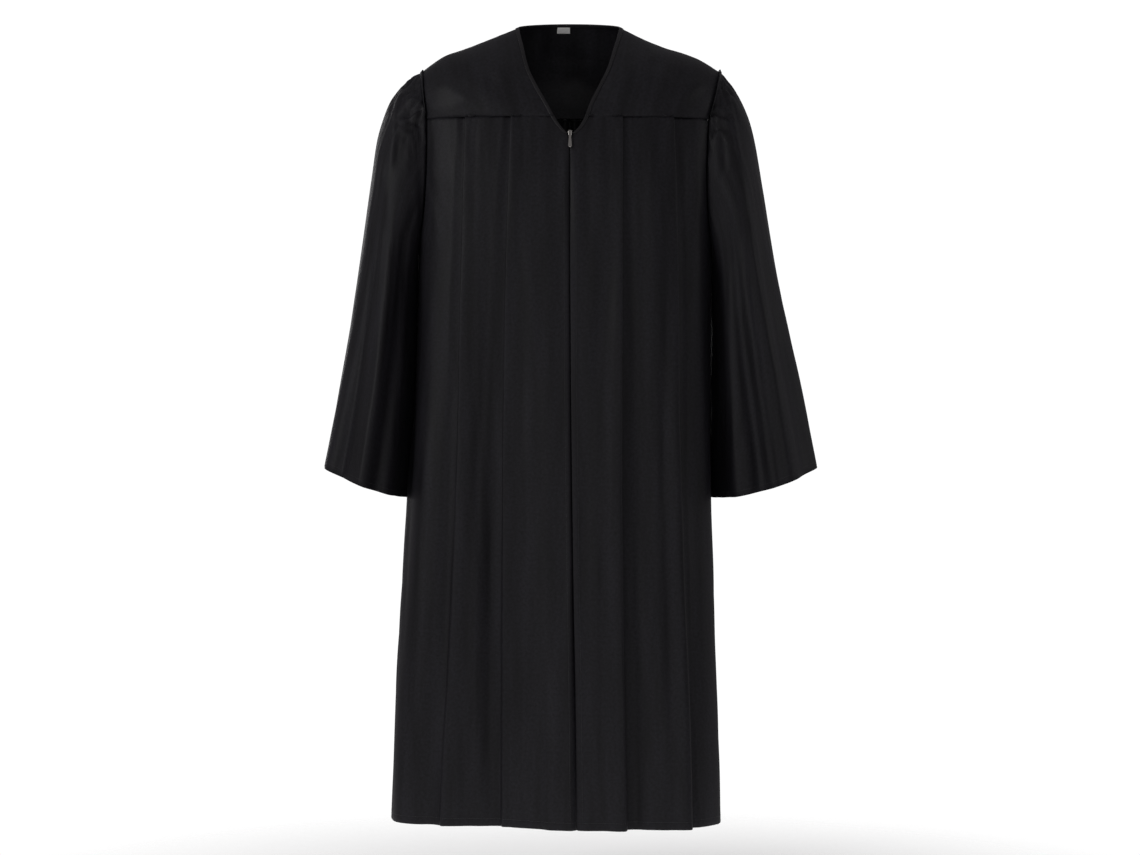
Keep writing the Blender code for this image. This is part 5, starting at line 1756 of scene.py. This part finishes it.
@dataclass
class Studio:
    """Pale floor, soft studio light, a plain bright surround, and the camera level with the gown's middle."""

    photo_width: float = 1140.0
    pixel: float = 0.00163
    distance: float = 4.5
    middle_drop: float = 0.651
    floor_z: float = -1.42

    def lamp(self, name: str, place: Sequence[float], size: float, power: float, target: Sequence[float]) -> None:
        """Add a soft square lamp that points at a target.

        Args:
            name: the lamp's name.
            place: where it stands.
            size: its side.
            power: its power in watts.
            target: the point it faces.
        """
        data = bpy.data.lights.new(name, "AREA")
        data.size = size
        data.energy = power
        made = bpy.data.objects.new(name, data)
        made.location = place
        made.rotation_euler = (Vector(target) - Vector(place)).to_track_quat("-Z", "Y").to_euler()
        bpy.context.scene.collection.objects.link(made)

    def floor(self) -> None:
        """Add the pale floor, whose edge fades out."""
        mesh = bpy.data.meshes.new("floor")
        form = bmesh.new()
        bmesh.ops.create_circle(form, cap_ends=True, cap_tris=True, segments=96, radius=1.5)
        for vertex in form.verts:
            vertex.co.z = self.floor_z
        form.to_mesh(mesh)
        form.free()
        made, shader = blank_material(
            "floor_painted_board", Base_Color=linear("#f6f6f5"), Roughness=0.8, Emission_Color=linear("#ffffff"),
            Emission_Strength=0.45,
        )
        tree = made.node_tree
        place = add_node(tree, "ShaderNodeTexCoord").outputs["Object"]
        flat = add_node(tree, "ShaderNodeVectorMath", {0: place, 1: (1, 1, 0)}, operation="MULTIPLY")
        away = add_node(tree, "ShaderNodeVectorMath", {0: flat.outputs[0]}, operation="LENGTH")
        fade = add_node(
            tree, "ShaderNodeMapRange",
            {"Value": away.outputs["Value"], "From Min": 0.35, "From Max": 1.3, "To Min": 1.0, "To Max": 0.0},
            interpolation_type="SMOOTHSTEP",
        )
        tree.links.new(fade.outputs[0], shader.inputs["Alpha"])
        floor = bpy.data.objects.new("floor", mesh)
        floor.data.materials.append(made)
        bpy.context.scene.collection.objects.link(floor)

    def surround(self) -> None:
        """Light the scene with a pale surround that looks white and gives a low fill."""
        world = bpy.data.worlds.new("pale_surround")
        world.use_nodes = True
        tree = world.node_tree
        tree.nodes.clear()
        seen = add_node(tree, "ShaderNodeBackground", {"Color": (1, 1, 1, 1), "Strength": 1.05})
        fill = add_node(tree, "ShaderNodeBackground", {"Color": linear("#fcf8fc"), "Strength": 0.20})
        path = add_node(tree, "ShaderNodeLightPath")
        both = add_node(
            tree, "ShaderNodeMixShader", {0: path.outputs["Is Camera Ray"], 1: fill.outputs[0], 2: seen.outputs[0]}
        )
        add_node(tree, "ShaderNodeOutputWorld", {"Surface": both.outputs[0]})
        bpy.context.scene.world = world

    def build(self) -> None:
        """Make the studio."""
        camera = bpy.data.cameras.new("camera")
        camera.sensor_width = 36
        camera.lens = 36 * self.distance / (self.photo_width * self.pixel)
        made = bpy.data.objects.new("camera", camera)
        made.location = (0, -self.distance, -self.middle_drop)
        made.rotation_euler = (math.pi / 2, 0, 0)
        bpy.context.scene.collection.objects.link(made)
        bpy.context.scene.camera = made
        bpy.context.scene.view_settings.view_transform = "Standard"
        target = (0, 0, -0.6)
        self.lamp("key", (-3.4, -2.6, 1.1), 1.8, 50, target)
        self.lamp("front", (0.1, -5.0, -0.5), 1.8, 17, target)
        self.lamp("right", (3.9, -0.2, 0.3), 1.8, 11, target)
        self.lamp("top", (0.0, -0.2, 3.0), 2.4, 3, (0, 0, -1))
        self.lamp("back", (-1.2, 4.4, 0.4), 2.2, 22, target)
        self.floor()
        self.surround()


def main() -> None:
    """Dress the gown and light it."""
    logging.basicConfig(level=logging.INFO, format="%(name)s: %(message)s")
    Studio().build()
    finishes = Finishes.make_all()
    yokes = {side: FrontYoke(side, finishes.cloth) for side in Side}
    back_yoke = BackYoke(finishes.cloth)
    panels = {side: FrontPanel(side, finishes.cloth) for side in Side}
    back = BackPanel(finishes.cloth)
    sleeves = {side: Sleeve(side, finishes.cloth, yokes[side], back_yoke) for side in Side}
    for piece in (*yokes.values(), back_yoke, *panels.values(), back, *sleeves.values()):
        piece.build()
    stitches = StitchTree("stitch_line")
    NeckBinding(finishes.binding).build(panels, yokes, back_yoke, stitches, finishes.thread)
    Zip(finishes.tape, finishes.nylon).build(StitchTree("zip_coil_line"))
    Slider(finishes.metal).build()
    Label(finishes.label).build(back_yoke, stitches, finishes.label_thread)
    Sewing(finishes.thread).build(stitches, panels, back, sleeves)


if __name__ == "__main__":
    main()
